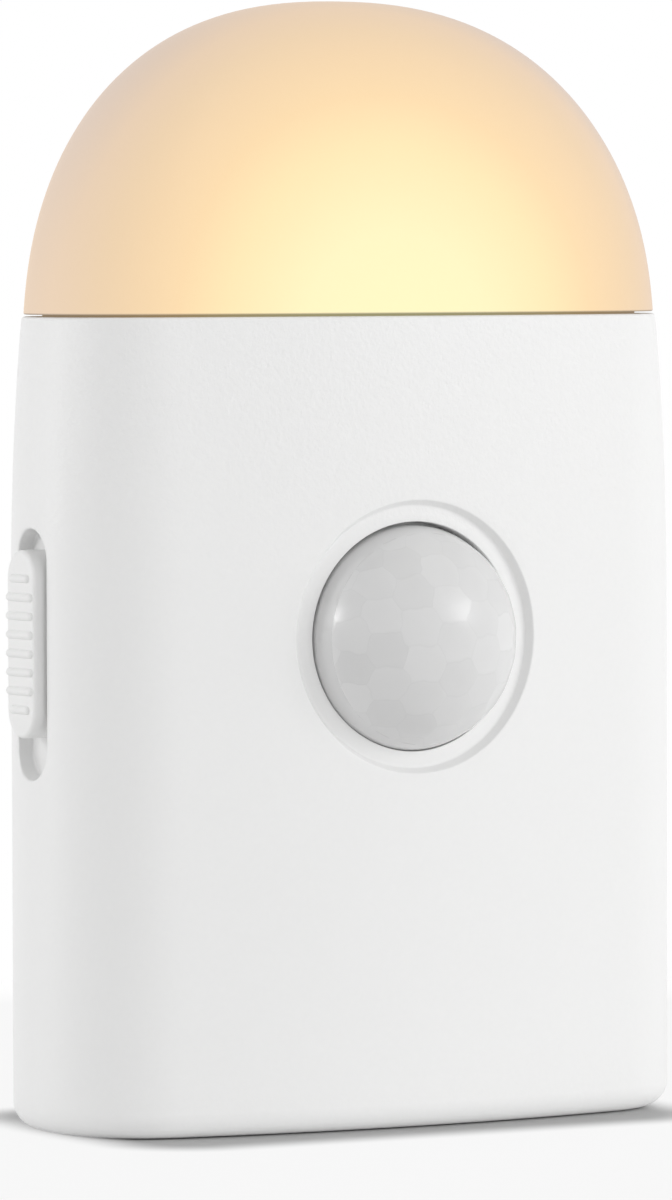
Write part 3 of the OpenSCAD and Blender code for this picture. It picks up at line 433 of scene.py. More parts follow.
def build_dome(finish):
    """Dome, its spigot and its inner face."""
    shape = Shape()
    stations = outline_stations()

    def flat_ring(inset, z):
        return [(*plan(s, inset), z) for s in stations]

    def dome_ring(inset, t, z):
        a, b, m = HALF_W - inset, BACK_Y - inset, t * t
        s = (1 - t ** DOME_POWER) ** (1 / DOME_POWER) - DOME_DRAFT * t * (1 - t)
        loop = []
        for x, y in (plan(station, inset) for station in stations):
            u = math.atan2(y / b, x / a)
            loop.append((s * (x * (1 - m) + a * math.cos(u) * m),
                         APEX_BACK + s * (y * (1 - m) + b * math.sin(u) * m - APEX_BACK), z))
        return loop

    inner_h = DOME_H - DOME_WALL
    bead_z = DOME_Z - SPIGOT_H
    bead_top = bead_z + BEAD_H
    start = math.asin(LEDGE_H / inner_h)
    loops = [dome_ring(DOME_IN, math.sin(a), DOME_Z + DOME_H * math.sin(a))
             for a in steps(DOME_TOP, math.asin(DOME_EDGE / DOME_H), DOME_ROWS)]
    loops += [flat_ring(DOME_IN + DOME_EDGE * (1 - math.cos(a)),
                        DOME_Z + DOME_EDGE * (1 - math.sin(a)))
              for a in steps(0.0, QUARTER, DOME_EDGE_ROWS)][1:]
    loops += [flat_ring(SPIGOT_IN, DOME_Z), flat_ring(SPIGOT_IN, bead_top),
              flat_ring(SPIGOT_IN - BEAD_OUT, bead_top), flat_ring(SPIGOT_IN - BEAD_OUT, bead_z),
              flat_ring(SPIGOT_IN + SPIGOT_T, bead_z),
              flat_ring(SPIGOT_IN + SPIGOT_T, DOME_Z + LEDGE_H)]
    loops += [dome_ring(DOME_IN + DOME_WALL, math.sin(a), DOME_Z + inner_h * math.sin(a))
              for a in steps(start, DOME_INNER_TOP, DOME_INNER_ROWS)]
    rows = shape.tube(loops)
    shape.fan(rows[0], (0.0, APEX_BACK, DOME_Z + DOME_H))
    shape.fan(rows[-1], (0.0, APEX_BACK, DOME_Z + inner_h))
    make_piece("dome_moulding", shape, finish, "housing", ["dome_diffuser"],
               DOME_SHARP)


def cell_offset(u, v):
    """Squared distance from the middle of the nearest lens cell, in staggered columns."""
    across = u * math.cos(CELL_TURN) + v * math.sin(CELL_TURN)
    up = v * math.cos(CELL_TURN) - u * math.sin(CELL_TURN)
    column = round(across / COLUMN_PITCH)
    found = []
    for c in (column - 1, column, column + 1):
        shift = 0.0 if c % 2 == 0 else CELL_PITCH / 2
        du = across - c * COLUMN_PITCH
        dv = up - shift - CELL_PITCH * round((up - shift) / CELL_PITCH)
        found.append(du * du + dv * dv)
    return min(found)


LENS_SIDES, FIELD_ROWS, MARGIN_ROWS, LENS_INNER_ROWS = 288, 96, 12, 30
# Tilts at which the rows start: at the pole, past the step round the cells, at the inner pole
POLE_TILT, STEP_TILT, INNER_POLE_TILT = 0.005, 0.008, 0.02
SEAT_LEAD = 0.02


def build_lens(finish):
    """Lens with flat-faced cells on its dome, a plain margin, a wall and a flange."""
    shape = Shape()
    turns = steps(0.0, FULL_TURN, LENS_SIDES, False)
    full = math.asin(LENS_R / LENS_BALL_R)
    field = CELL_FIELD / LENS_BALL_R
    axis_z = LENS_Z - LENS_DROP

    def ring(r, y):
        return [(r * math.cos(a), y, axis_z + r * math.sin(a)) for a in turns]

    def dome(tilt, ball, flatness):
        loop = []
        for a in turns:
            arc = LENS_BALL_R * tilt
            off = cell_offset(arc * math.cos(a), arc * math.sin(a))
            r = ball + flatness * off / (2 * LENS_BALL_R)
            loop.append((r * math.sin(tilt) * math.cos(a), LENS_BALL_Y - r * math.cos(tilt),
                         axis_z + r * math.sin(tilt) * math.sin(a)))
        return loop

    inner = LENS_BALL_R - LENS_WALL
    throat = math.acos((LENS_BALL_Y - LENS_BASE_Y) / inner)
    back_y = SEAT_Y + FLANGE_T
    loops = [dome(t, LENS_BALL_R, FACET_FLATNESS) for t in steps(POLE_TILT, field, FIELD_ROWS)]
    loops += [dome(t, LENS_BALL_R - FIELD_STEP, 0.0)
              for t in steps(field + STEP_TILT, full, MARGIN_ROWS)]
    loops += [ring(LENS_R, SEAT_Y - SEAT_LEAD), ring(FLANGE_R, SEAT_Y), ring(FLANGE_R, back_y),
              ring(inner * math.sin(throat), back_y)]
    loops += [dome(t, inner, 0.0) for t in steps(throat, INNER_POLE_TILT, LENS_INNER_ROWS)]
    rows = shape.tube(loops)
    shape.fan(rows[0], (0.0, LENS_BALL_Y - LENS_BALL_R, axis_z))
    shape.fan(rows[-1], (0.0, LENS_BALL_Y - inner, axis_z))
    make_piece("lens_moulding", shape, finish, "housing", ["fresnel_lens"],
               SHELL_SHARP)


# Knob: turns of its ends, chamfer of its foot, low crown of its face, and the form of its ribs
KNOB_END_STEPS, KNOB_ROUND_STEPS, KNOB_FOOT = 24, 7, 0.12
KNOB_CROWN = [(1.3, 0.02), (1.9, 0.035), (2.5, 0.04)]
RIB_SIDES, RIB_END_STEPS, RIB_TIP = 20, 6, 0.15
RIB_SINK, RIB_HALF_H, END_RIB_SHARE = 0.1, 0.42, 0.75


def grip_rib(shape, centre, half_len):
    """Rounded bar along Y, flattened over the knob's face."""
    around = steps(0.0, FULL_TURN, RIB_SIDES, False)
    ends = [(-half_len + RIB_HALF_H - RIB_HALF_H * math.cos(a), math.sin(a))
            for a in steps(RIB_TIP, QUARTER, RIB_END_STEPS)]
    spine = ends + [(-y, s) for y, s in ends[::-1]]
    cx, cy, cz = centre
    loops = [[(cx - RIB_R * s * math.cos(a), cy + y, cz + RIB_HALF_H * s * math.sin(a))
              for a in around] for y, s in spine]
    rows = shape.tube(loops)
    shape.fan(rows[0], (cx, cy - half_len, cz))
    shape.fan(rows[-1], (cx, cy + half_len, cz))


def build_knob(finish):
    """Slide knob: a long button with a rounded rim and rounded grip ribs."""
    shape = Shape()
    half = (KNOB_L - KNOB_W) / 2
    turns = steps(0.0, HALF_TURN, KNOB_END_STEPS)

    def ring(inset, height):
        r = KNOB_W / 2 - inset
        loop = [(math.cos(a) * r, half + math.sin(a) * r) for a in turns]
        loop += [(-math.cos(a) * r, -half - math.sin(a) * r) for a in turns]
        return [(-HALF_W + KNOB_IN - height, SWITCH_Y + y, KNOB_Z + z) for y, z in loop]

    high = KNOB_IN + KNOB_OUT
    loops = [ring(KNOB_FOOT, 0.0), ring(0.0, KNOB_FOOT), ring(0.0, high - KNOB_ROUND)]
    loops += [ring(KNOB_ROUND * (1 - math.cos(a)), high - KNOB_ROUND * (1 - math.sin(a)))
              for a in steps(0.0, QUARTER, KNOB_ROUND_STEPS)][1:]
    loops += [ring(inset, high + rise) for inset, rise in KNOB_CROWN]
    rows = shape.tube(loops)
    shape.cap(rows[0])
    shape.cap(rows[-1])
    for k in range(RIB_COUNT):
        share = END_RIB_SHARE if k in (0, RIB_COUNT - 1) else 1.0
        z = KNOB_Z + (k - (RIB_COUNT - 1) / 2) * RIB_PITCH
        grip_rib(shape, (-HALF_W - KNOB_OUT + RIB_SINK, SWITCH_Y, z), RIB_L / 2 * share)
    make_piece("knob_moulding", shape, finish, "switch", ["slider_knob"],
               ROUND_SHARP)


SPRING_STEPS, WIRE_SIDES, SPRING_ROOM = 28, 12, 0.1


def build_spring(name, node, finish, up):
    """Conical contact spring of round wire, which stands on its plate or hangs from it."""
    low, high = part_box(node)
    shape = Shape()
    cx, cy = (low.x + high.x) / 2 / MM, (low.y + high.y) / 2 / MM
    base = (low.z if up else high.z) / MM
    sign = 1 if up else -1
    wire_r = SPRING_WIRE / 2
    loops = []
    for t in steps(0.0, 1.0, SPRING_STEPS * SPRING_TURNS):
        a = FULL_TURN * SPRING_TURNS * t
        r = SPRING_R + (SPRING_TIP_R - SPRING_R) * t
        rise = (SPRING_H - SPRING_WIRE - SPRING_ROOM) * t
        x, y, z = cx + r * math.cos(a), cy + r * math.sin(a), base + sign * (wire_r + rise)
        loop = []
        for b in steps(0.0, FULL_TURN, WIRE_SIDES, False):
            out, lift = wire_r * math.cos(b), wire_r * math.sin(b)
            loop.append((x + out * math.cos(a), y + out * math.sin(a), z + lift))
        loops.append(loop)
    rows = shape.tube(loops)
    shape.cap(rows[0])
    shape.cap(rows[-1])
    make_piece(name, shape, finish, "housing", [node], ROUND_SHARP)


# Shader nodes
def fill(tree, node, inputs):
    """Fills a node's inputs with values or links."""
    for key, value in inputs.items():
        if isinstance(value, bpy.types.NodeSocket):
            tree.links.new(value, node.inputs[key])
        else:
            node.inputs[key].default_value = value


def add(tree, kind, inputs=None, **props):
    """Adds a shader node, sets its properties and fills its inputs."""
    node = tree.nodes.new("ShaderNode" + kind)
    for key, value in props.items():
        setattr(node, key, value)
    fill(tree, node, inputs or {})
    return node


def math_node(tree, operation, *values):
    return add(tree, "Math", dict(enumerate(values)), operation=operation).outputs[0]


def vector_node(tree, operation, *values):
    node = add(tree, "VectorMath", dict(enumerate(values)), operation=operation)
    return node.outputs["Value" if operation in ("LENGTH", "DISTANCE") else "Vector"]


def scaled(tree, colour, factor):
    inputs = {0: colour, "Scale": factor}
    return add(tree, "VectorMath", inputs, operation="SCALE").outputs[0]


def object_place(tree):
    return add(tree, "TexCoord").outputs["Object"]


def noise(tree, place, scale, detail=2.0):
    inputs = {"Vector": place, "Scale": scale, "Detail": detail}
    return add(tree, "TexNoise", inputs).outputs["Fac"]


def vary(tree, value, amount, base):
    """A base value, changed by a noise about the noise's middle."""
    return math_node(tree, "MULTIPLY_ADD", math_node(tree, "SUBTRACT", value, 0.5), amount, base)


def map_range(tree, value, start, end, low=0.0, high=1.0, kind="SMOOTHSTEP"):
    inputs = {"Value": value, "From Min": start, "From Max": end, "To Min": low, "To Max": high}
    return add(tree, "MapRange", inputs, interpolation_type=kind).outputs[0]


def grey(tree, tone):
    return add(tree, "CombineColor", {0: tone, 1: tone, 2: tone}).outputs[0]


def bump(tree, height, distance):
    inputs = {"Height": height, "Distance": distance, "Strength": 1.0}
    return add(tree, "Bump", inputs).outputs["Normal"]


def ramp(tree, fac, stops, interpolation="EASE"):
    node = add(tree, "ValToRGB", {"Fac": fac})
    node.color_ramp.interpolation = interpolation
    elements = node.color_ramp.elements
    while len(elements) < len(stops):
        elements.new(0.5)
    for element, (place, colour) in zip(elements, stops):
        element.position = place
        element.color = (*colour, 1.0)
    return node.outputs["Color"]


def group_tree(name, inputs, outputs):
    """Empty shader node group with named inputs and outputs."""
    tree = bpy.data.node_groups.new(name, "ShaderNodeTree")
    for label, kind, value in inputs:
        socket = tree.interface.new_socket(label, in_out="INPUT", socket_type=kind)
        socket.default_value = value
    for label, kind in outputs:
        tree.interface.new_socket(label, in_out="OUTPUT", socket_type=kind)
    return tree, tree.nodes.new("NodeGroupInput"), tree.nodes.new("NodeGroupOutput")


def new_material(name):
    material = bpy.data.materials.new(name)
    material.use_nodes = True
    tree = material.node_tree
    return material, tree, tree.nodes["Principled BSDF"]


# Materials
def mould_grain_group():
    """Fine spark-eroded grain of moulded plastic, with slow changes of tone and gloss."""
    tree, given, out = group_tree(
        "mould_grain",
        [("Colour", "NodeSocketColor", (0.8, 0.8, 0.8, 1.0)),
         ("Grain Scale", "NodeSocketFloat", 2200.0),
         ("Tone Change", "NodeSocketFloat", 0.02),
         ("Roughness", "NodeSocketFloat", 0.4)],
        [("Colour", "NodeSocketColor"), ("Roughness", "NodeSocketFloat"),
         ("Height", "NodeSocketFloat")])
    place = object_place(tree)
    grain = add(tree, "TexNoise", {"Vector": place, "Scale": given.outputs["Grain Scale"],
                                   "Detail": 3.0, "Roughness": 0.62}).outputs["Fac"]
    cloud = noise(tree, place, 45.0, 3.0)
    tone = vary(tree, cloud, given.outputs["Tone Change"], 1.0)
    tone = vary(tree, grain, 0.03, tone)
    rough = vary(tree, cloud, 0.12, given.outputs["Roughness"])
    rough = vary(tree, grain, 0.10, rough)
    fill(tree, out, {"Colour": scaled(tree, given.outputs["Colour"], tone), "Roughness": rough,
                     "Height": grain})
    return tree


GRAIN = mould_grain_group()
# Depths of the bump in metres
SHELL_GRAIN_DEPTH, FINE_GRAIN_DEPTH, FROST_DEPTH = 0.00007, 0.00001, 0.000012
DRAWN_DEPTH, TRACK_DEPTH = 0.000008, 0.00003


def moulded_plastic(name, colour, rough, scale, tone):
    material, tree, shader = new_material(name)
    grain = add(tree, "Group", {"Colour": (*colour, 1.0), "Grain Scale": scale,
                                "Tone Change": tone, "Roughness": rough}, node_tree=GRAIN)
    fill(tree, shader, {"Base Color": grain.outputs["Colour"],
                        "Roughness": grain.outputs["Roughness"],
                        "Normal": bump(tree, grain.outputs["Height"], FINE_GRAIN_DEPTH),
                        "Specular IOR Level": 0.4})
    return material


# Heights between which the grain of the shell grows to full depth, and its share below them
GRAIN_LOW_Z, GRAIN_HIGH_Z, GRAIN_LOW_SHARE = 0.045, 0.07, 0.12


def shell_plastic():
    """White housing: satin, with the grain strongest in the band under the dome."""
    material, tree, shader = new_material("white_satin_shell")
    grain = add(tree, "Group", {"Colour": (0.855, 0.855, 0.852, 1.0), "Grain Scale": 1900.0,
                                "Tone Change": 0.012, "Roughness": 0.36}, node_tree=GRAIN)
    height = add(tree, "SeparateXYZ", {0: object_place(tree)}).outputs["Z"]
    band = map_range(tree, height, GRAIN_LOW_Z, GRAIN_HIGH_Z, GRAIN_LOW_SHARE)
    relief = math_node(tree, "MULTIPLY", grain.outputs["Height"], band)
    fill(tree, shader, {"Base Color": grain.outputs["Colour"],
                        "Roughness": grain.outputs["Roughness"],
                        "Normal": bump(tree, relief, SHELL_GRAIN_DEPTH),
                        "Specular IOR Level": 0.28})
    return material


# Middle of the painted glow in metres, and the glow painted on the dome by distance from it in
# millimetres
LED_PLACE = (-0.0015, -0.0055, 0.0735)
GLOW = [(7.5, (0.85, 0.78, 0.40)), (12.3, (0.85, 0.75, 0.39)), (18.7, (0.83, 0.65, 0.315)),
        (22.8, (0.79, 0.555, 0.27)), (26.3, (0.73, 0.515, 0.275)), (28.5, (0.68, 0.49, 0.285)),
        (30.5, (0.64, 0.47, 0.31)), (33.0, (0.51, 0.41, 0.345))]
DOME_SKIN = (0.20, 0.185, 0.175)
# Painted shade at the seam: share of the glow at the dome's foot, and the height in millimetres
# over which it returns to full
SEAM_SHADE, SEAM_SHADE_H = 0.3, 0.2


def dome_plastic():
    """Frosted diffuser with a glow painted as emission, brightest over the LEDs below it, and a
    painted shade that dims it at the seam.
    """
    material, tree, shader = new_material("warm_frosted_dome")
    place = object_place(tree)
    away = vector_node(tree, "DISTANCE", place, LED_PLACE)
    near, far = GLOW[0][0], GLOW[-1][0]
    share = map_range(tree, away, near * MM, far * MM, kind="LINEAR")
    glow = ramp(tree, share, [((d - near) / (far - near), c) for d, c in GLOW], "LINEAR")
    frost = noise(tree, place, 2600.0)
    soft = vary(tree, noise(tree, place, 70.0), 0.03, 1.0)
    height = add(tree, "SeparateXYZ", {0: place}).outputs["Z"]
    painted_seam_shade = map_range(tree, height, DOME_Z * MM, (DOME_Z + SEAM_SHADE_H) * MM, SEAM_SHADE)
    # Painted glow: emission by distance from the LEDs, dimmed near the seam as painted shade
    painted_glow = scaled(tree, glow, math_node(tree, "MULTIPLY", soft, painted_seam_shade))
    fill(tree, shader, {"Base Color": scaled(tree, DOME_SKIN, soft),
                        "Roughness": math_node(tree, "MULTIPLY_ADD", frost, 0.12, 0.6),
                        "Emission Color": painted_glow, "Emission Strength": 1.0,
                        "Normal": bump(tree, frost, FROST_DEPTH), "Specular IOR Level": 0.15})
    return material


# Waviness of the lens cells' edges in metres, the least sine of a tilt, and the size of the
# steps to which a cell's middle is rounded for its own tone
WAVE_SCALE, WAVE_REACH, LEAST_SINE, TONE_STEP = 480.0, 0.0011, 0.0005, 0.0007


def lens_cells_group():
    """Cells of the lens: how near a cell's edge is, a value for each cell, and the arc out."""
    tree, given, out = group_tree(
        "lens_cells", [("Vector", "NodeSocketVector", (0.0, 0.0, 0.0))],
        [("Edge", "NodeSocketFloat"), ("Cell", "NodeSocketFloat"), ("Away", "NodeSocketFloat")])
    wide, high = 2 * COLUMN_PITCH * MM, CELL_PITCH * MM
    centre = (0.0, LENS_BALL_Y * MM, (LENS_Z - LENS_DROP) * MM)
    ray = vector_node(tree, "SUBTRACT", given.outputs["Vector"], centre)
    part = add(tree, "SeparateXYZ", {0: vector_node(tree, "NORMALIZE", ray)})
    tilt = math_node(tree, "ARCCOSINE", math_node(tree, "MULTIPLY", part.outputs["Y"], -1.0))
    away = math_node(tree, "MULTIPLY", tilt, LENS_BALL_R * MM)
    sine = math_node(tree, "MAXIMUM", math_node(tree, "SINE", tilt), LEAST_SINE)
    spread = math_node(tree, "DIVIDE", away, sine)
    flat = add(tree, "CombineXYZ", {
        0: math_node(tree, "MULTIPLY", part.outputs["X"], spread),
        1: math_node(tree, "MULTIPLY", part.outputs["Z"], spread)}).outputs[0]
    flat = add(tree, "VectorRotate", {"Vector": flat, "Angle": -CELL_TURN},
               rotation_type="Z_AXIS").outputs[0]
    wave = add(tree, "TexNoise", {"Vector": flat, "Scale": WAVE_SCALE, "Detail": 1.0})
    wave = vector_node(tree, "SUBTRACT", wave.outputs["Color"], (0.5, 0.5, 0.5))
    wave = vector_node(tree, "MULTIPLY", wave, (WAVE_REACH, WAVE_REACH, 0.0))
    flat = vector_node(tree, "ADD", flat, wave)

    def nearest(shift):
        """Place from the middle of the nearest cell of every other column."""
        moved = vector_node(tree, "SUBTRACT", flat, shift)
        turns = vector_node(tree, "MULTIPLY", moved, (1 / wide, 1 / high, 1.0))
        whole = vector_node(tree, "FLOOR", vector_node(tree, "ADD", turns, (0.5, 0.5, 0.0)))
        middle = vector_node(tree, "MULTIPLY", whole, (wide, high, 0.0))
        return vector_node(tree, "SUBTRACT", moved, middle)

    a = nearest((0.0, 0.0, 0.0))
    b = nearest((COLUMN_PITCH * MM, high / 2, 0.0))
    length_a, length_b = vector_node(tree, "LENGTH", a), vector_node(tree, "LENGTH", b)
    pick = math_node(tree, "LESS_THAN", length_b, length_a)
    near = add(tree, "Mix", {"Factor": pick, 4: a, 5: b}, data_type="VECTOR").outputs[1]
    rise = add(tree, "SeparateXYZ", {0: vector_node(tree, "ABSOLUTE", near)}).outputs["Y"]
    across = math_node(tree, "ABSOLUTE", math_node(tree, "SUBTRACT", length_b, length_a))
    edge = math_node(tree, "MINIMUM", across, math_node(tree, "SUBTRACT", high / 2, rise))
    middle = vector_node(tree, "SUBTRACT", flat, near)
    middle = vector_node(tree, "SNAP", middle, (TONE_STEP, TONE_STEP, 1.0))
    cell = add(tree, "TexWhiteNoise", {"Vector": middle}).outputs["Value"]
    fill(tree, out, {"Edge": edge, "Cell": cell, "Away": away})
    return tree


# Tone of the lens: its base, each cell's range and least change, and the line round a cell
LENS_TONE, CELL_TONE_RANGE, CELL_TONE_LEAST, CELL_LINE_TONE = 0.745, 0.05, -0.03, -0.02
# Widths of that line and of the cell field's edge, and the reach of light in the lens, in mm
CELL_LINE_W, FIELD_EDGE_W, LENS_SCATTER = 0.2, 0.05, 1.5


def lens_plastic():
    """Milky lens plastic: a tone for each cell, faint cell edges, a plain margin and a gloss."""
    material, tree, shader = new_material("milky_lens_plastic")
    place = object_place(tree)
    cells = add(tree, "Group", {"Vector": place}, node_tree=lens_cells_group())
    inside = map_range(tree, cells.outputs["Away"], (CELL_FIELD + FIELD_EDGE_W) * MM,
                       CELL_FIELD * MM, kind="LINEAR")
    line = map_range(tree, cells.outputs["Edge"], 0.0, CELL_LINE_W * MM, 1.0, 0.0)
    cloud = noise(tree, place, 220.0, 3.0)
    cell_tone = math_node(tree, "MULTIPLY_ADD", cells.outputs["Cell"], CELL_TONE_RANGE,
                          CELL_TONE_LEAST)
    cell_tone = math_node(tree, "MULTIPLY_ADD", line, CELL_LINE_TONE, cell_tone)
    tone = math_node(tree, "MULTIPLY_ADD", cell_tone, inside, LENS_TONE)
    tone = vary(tree, cloud, 0.04, tone)
    fill(tree, shader, {"Base Color": grey(tree, tone),
                        "Roughness": math_node(tree, "MULTIPLY_ADD", cloud, 0.08, 0.19),
                        "Specular IOR Level": 0.45, "Normal": bump(tree, cloud, FINE_GRAIN_DEPTH),
                        "Subsurface Weight": 1.0, "Subsurface Radius": (1.0, 1.0, 1.0),
                        "Subsurface Scale": LENS_SCATTER * MM})
    return material


DRAWN_STRETCH, DRAWN_SCALE, DRAWN_SHADE = (1.0, 1.0, 0.08), 900.0, 0.82


def metal(name, colour, rough):
    """Plated sheet or wire with fine drawing marks."""
    material, tree, shader = new_material(name)
    drawn = add(tree, "Mapping", {"Vector": object_place(tree), "Scale": DRAWN_STRETCH})
    marks = noise(tree, drawn.outputs[0], DRAWN_SCALE, 4.0)
    dark = tuple(c * DRAWN_SHADE for c in colour)
    fill(tree, shader, {"Base Color": ramp(tree, marks, [(0.25, dark), (0.75, colour)]),
                        "Metallic": 1.0, "Normal": bump(tree, marks, DRAWN_DEPTH),
                        "Roughness": math_node(tree, "MULTIPLY_ADD", marks, 0.2, rough)})
    return material


def circuit_board():
    """Green solder mask with paler tracks under it."""
    material, tree, shader = new_material("green_solder_mask")
    place = object_place(tree)
    tracks = add(tree, "TexBrick", {"Vector": place, "Scale": 260.0, "Mortar Size": 0.03,
                                    "Color1": (0.02, 0.16, 0.07, 1.0),
                                    "Color2": (0.025, 0.19, 0.085, 1.0),
                                    "Mortar": (0.06, 0.30, 0.13, 1.0)})
    mask = noise(tree, place, 600.0)
    fill(tree, shader, {"Base Color": tracks.outputs["Color"],
                        "Roughness": math_node(tree, "MULTIPLY_ADD", mask, 0.15, 0.25),
                        "Normal": bump(tree, tracks.outputs["Fac"], TRACK_DEPTH)})
    return material


# Colours along a battery cell by share of its length, from its foot to its button
SLEEVE_DARK, SLEEVE_COPPER = (0.05, 0.055, 0.06), (0.62, 0.33, 0.13)
COPPER_START = 0.705
SLEEVE = [(0.0, (0.55, 0.55, 0.54)), (0.012, SLEEVE_DARK), (0.70, SLEEVE_DARK),
          (COPPER_START, SLEEVE_COPPER), (0.968, SLEEVE_COPPER), (0.972, (0.62, 0.62, 0.6))]


def cell_sleeve(name, foot, button):
    """Plain sleeve of a battery cell: dark, with a copper band at its button and bare ends."""
    material, tree, shader = new_material(name)
    place = add(tree, "TexCoord").outputs["Generated"]
    height = add(tree, "SeparateXYZ", {0: place}).outputs["Z"]
    height = map_range(tree, height, foot, button, kind="LINEAR")
    scuff = noise(tree, place, 40.0, 4.0)
    bare = math_node(tree, "GREATER_THAN", height, COPPER_START)
    fill(tree, shader, {"Base Color": ramp(tree, height, SLEEVE, "CONSTANT"),
                        "Metallic": math_node(tree, "MULTIPLY", bare, 0.9),
                        "Roughness": math_node(tree, "MULTIPLY_ADD", scuff, 0.2, 0.25),
                        "Normal": bump(tree, scuff, FINE_GRAIN_DEPTH)})
    return material


def led_phosphor():
    """Glowing phosphor of the warm LEDs."""
    material, tree, shader = new_material("warm_led_phosphor")
    grain = noise(tree, object_place(tree), 1800.0)
    colour = ramp(tree, grain, [(0.3, (0.9, 0.72, 0.3)), (0.7, (0.95, 0.82, 0.45))])
    fill(tree, shader, {"Base Color": colour, "Emission Color": colour,
                        "Emission Strength": 1.0, "Roughness": 0.4})
    return material


def dark_filter():
    """Dark sensor window, glossy."""
    material, tree, shader = new_material("dark_sensor_filter")
    haze = noise(tree, object_place(tree), 900.0)
    colour = ramp(tree, haze, [(0.3, (0.015, 0.012, 0.018)), (0.7, (0.03, 0.026, 0.032))])
    fill(tree, shader, {"Base Color": colour,
                        "Roughness": math_node(tree, "MULTIPLY_ADD", haze, 0.1, 0.08)})
    return material


# Points of a CAD node nearer than this in millimetres are one, and its sharp edges bend more
JOIN_DISTANCE, SHARP_ANGLE = 0.001, math.radians(32.0)


def smooth_skin_group():
    """Geometry nodes that shade a CAD node smoothly between its sharp edges."""
    tree = bpy.data.node_groups.new("smooth_skin", "GeometryNodeTree")
    for way in ("INPUT", "OUTPUT"):
        tree.interface.new_socket("Geometry", in_out=way, socket_type="NodeSocketGeometry")
    given, out = tree.nodes.new("NodeGroupInput"), tree.nodes.new("NodeGroupOutput")
    joined = tree.nodes.new("GeometryNodeMergeByDistance")
    joined.inputs["Distance"].default_value = JOIN_DISTANCE * MM
    bare = tree.nodes.new("GeometryNodeRemoveAttribute")
    bare.inputs["Name"].default_value = "custom_normal"
    faces = tree.nodes.new("GeometryNodeSetShadeSmooth")
    edges = tree.nodes.new("GeometryNodeSetShadeSmooth")
    edges.domain = "EDGE"
    bend = tree.nodes.new("GeometryNodeInputMeshEdgeAngle")
    gentle = tree.nodes.new("FunctionNodeCompare")
    gentle.operation = "LESS_THAN"
    gentle.inputs[1].default_value = SHARP_ANGLE
    tree.links.new(bend.outputs["Unsigned Angle"], gentle.inputs[0])
    tree.links.new(gentle.outputs[0], edges.inputs["Shade Smooth"])
    row = [given, joined, bare, faces, edges, out]
    for one, after in zip(row, row[1:]):
        tree.links.new(one.outputs[0], after.inputs[0])
    return tree


# Pieces
shell = shell_plastic()
knob_plastic = moulded_plastic("white_satin_knob", (0.85, 0.85, 0.845), 0.45, 2600.0, 0.01)
tray_plastic = moulded_plastic("white_reflector", (0.86, 0.86, 0.84), 0.35, 2600.0, 0.015)
black_plastic = moulded_plastic("black_component", (0.02, 0.02, 0.021), 0.5, 3000.0, 0.2)
dome_finish = dome_plastic()
lens_finish = lens_plastic()
bright_steel = metal("bright_plated_steel", (0.66, 0.66, 0.65), 0.18)
plated_pins = metal("gold_plated_pin", (0.83, 0.62, 0.28), 0.2)
board_finish = circuit_board()
sleeve_up = cell_sleeve("cell_sleeve_button_up", 0.0, 1.0)
sleeve_down = cell_sleeve("cell_sleeve_button_down", 1.0, 0.0)
phosphor = led_phosphor()
filter_finish = dark_filter()

build_front_shell(shell)
build_dome(dome_finish)
build_lens(lens_finish)
build_knob(knob_plastic)
for place, up in (("left", True), ("middle", False), ("right", True)):
    build_spring("contact_spring_" + place, "spring_" + place, bright_steel, up)

FINISHES = {
    "rear_cover": shell, "battery_door": shell, "reflector_tray": tray_plastic,
    "led_board": tray_plastic, "warm_leds": phosphor, "main_board": board_finish,
    "pir_sensor": bright_steel, "sensor_window": filter_finish, "lens_retainer": tray_plastic,
    "light_sensor": filter_finish, "control_chip": black_plastic, "capacitor": black_plastic,
    "switch_can": bright_steel, "switch_lever": black_plastic, "cell_left": sleeve_up,
    "cell_middle": sleeve_down, "cell_right": sleeve_up, "positive_terminal": bright_steel,
    "negative_terminal": bright_steel, "lower_bridge": bright_steel,
    "upper_bridge": bright_steel, "link_header": black_plastic, "link_pins": plated_pins,
    "rear_screws": bright_steel, "board_screws": bright_steel,
}
smooth_skin = smooth_skin_group()
for node, finish in FINISHES.items():
    NODES[node].data.materials.clear()
    NODES[node].data.materials.append(finish)
    NODES[node].modifiers.new("smooth_skin", "NODES").node_group = smooth_skin


# Camera at the photo's angle, in metres, radians and millimetres of film
CAMERA_PLACE = (-0.392, -0.6945, 0.0822)
CAMERA_TURN, CAMERA_DOWN = math.radians(29.45), math.radians(2.414)
CAMERA_ROLL = math.radians(0.17)
FILM_W, FOCAL_LENGTH, FILM_SHIFT = 36.0, 254.5, -0.0032


def photo_camera():
    data = bpy.data.cameras.new("camera")
    data.sensor_width = FILM_W
    data.lens = FOCAL_LENGTH
    data.shift_x = FILM_SHIFT
    camera = bpy.data.objects.new("camera", data)
    camera.location = CAMERA_PLACE
    camera.rotation_euler = (QUARTER - CAMERA_DOWN, CAMERA_ROLL, -CAMERA_TURN)
    bpy.context.scene.collection.objects.link(camera)
    bpy.context.scene.camera = camera


# Studio: white surround, pale floor and soft lamps
WHITE = (1.0, 1.0, 1.0, 1.0)
AMBIENT = 0.59


def background_ray(tree):
    """1 for the rays that show the background: straight, mirrored or through a clear piece."""
    path = add(tree, "LightPath").outputs
    seen = math_node(tree, "MAXIMUM", path["Is Camera Ray"], path["Is Transmission Ray"])
    return math_node(tree, "MAXIMUM", seen, path["Is Glossy Ray"])


def studio_world():
    world = bpy.data.worlds.new("studio")
    bpy.context.scene.world = world
    world.use_nodes = True
    tree = world.node_tree
    ambient = tree.nodes["Background"]
    fill(tree, ambient, {"Color": WHITE, "Strength": AMBIENT})
    white = add(tree, "Background", {"Color": WHITE, "Strength": 1.0})
    both = add(tree, "MixShader", {0: background_ray(tree), 1: ambient.outputs[0],
                                   2: white.outputs[0]})
    fill(tree, tree.nodes["World Output"], {"Surface": both.outputs[0]})
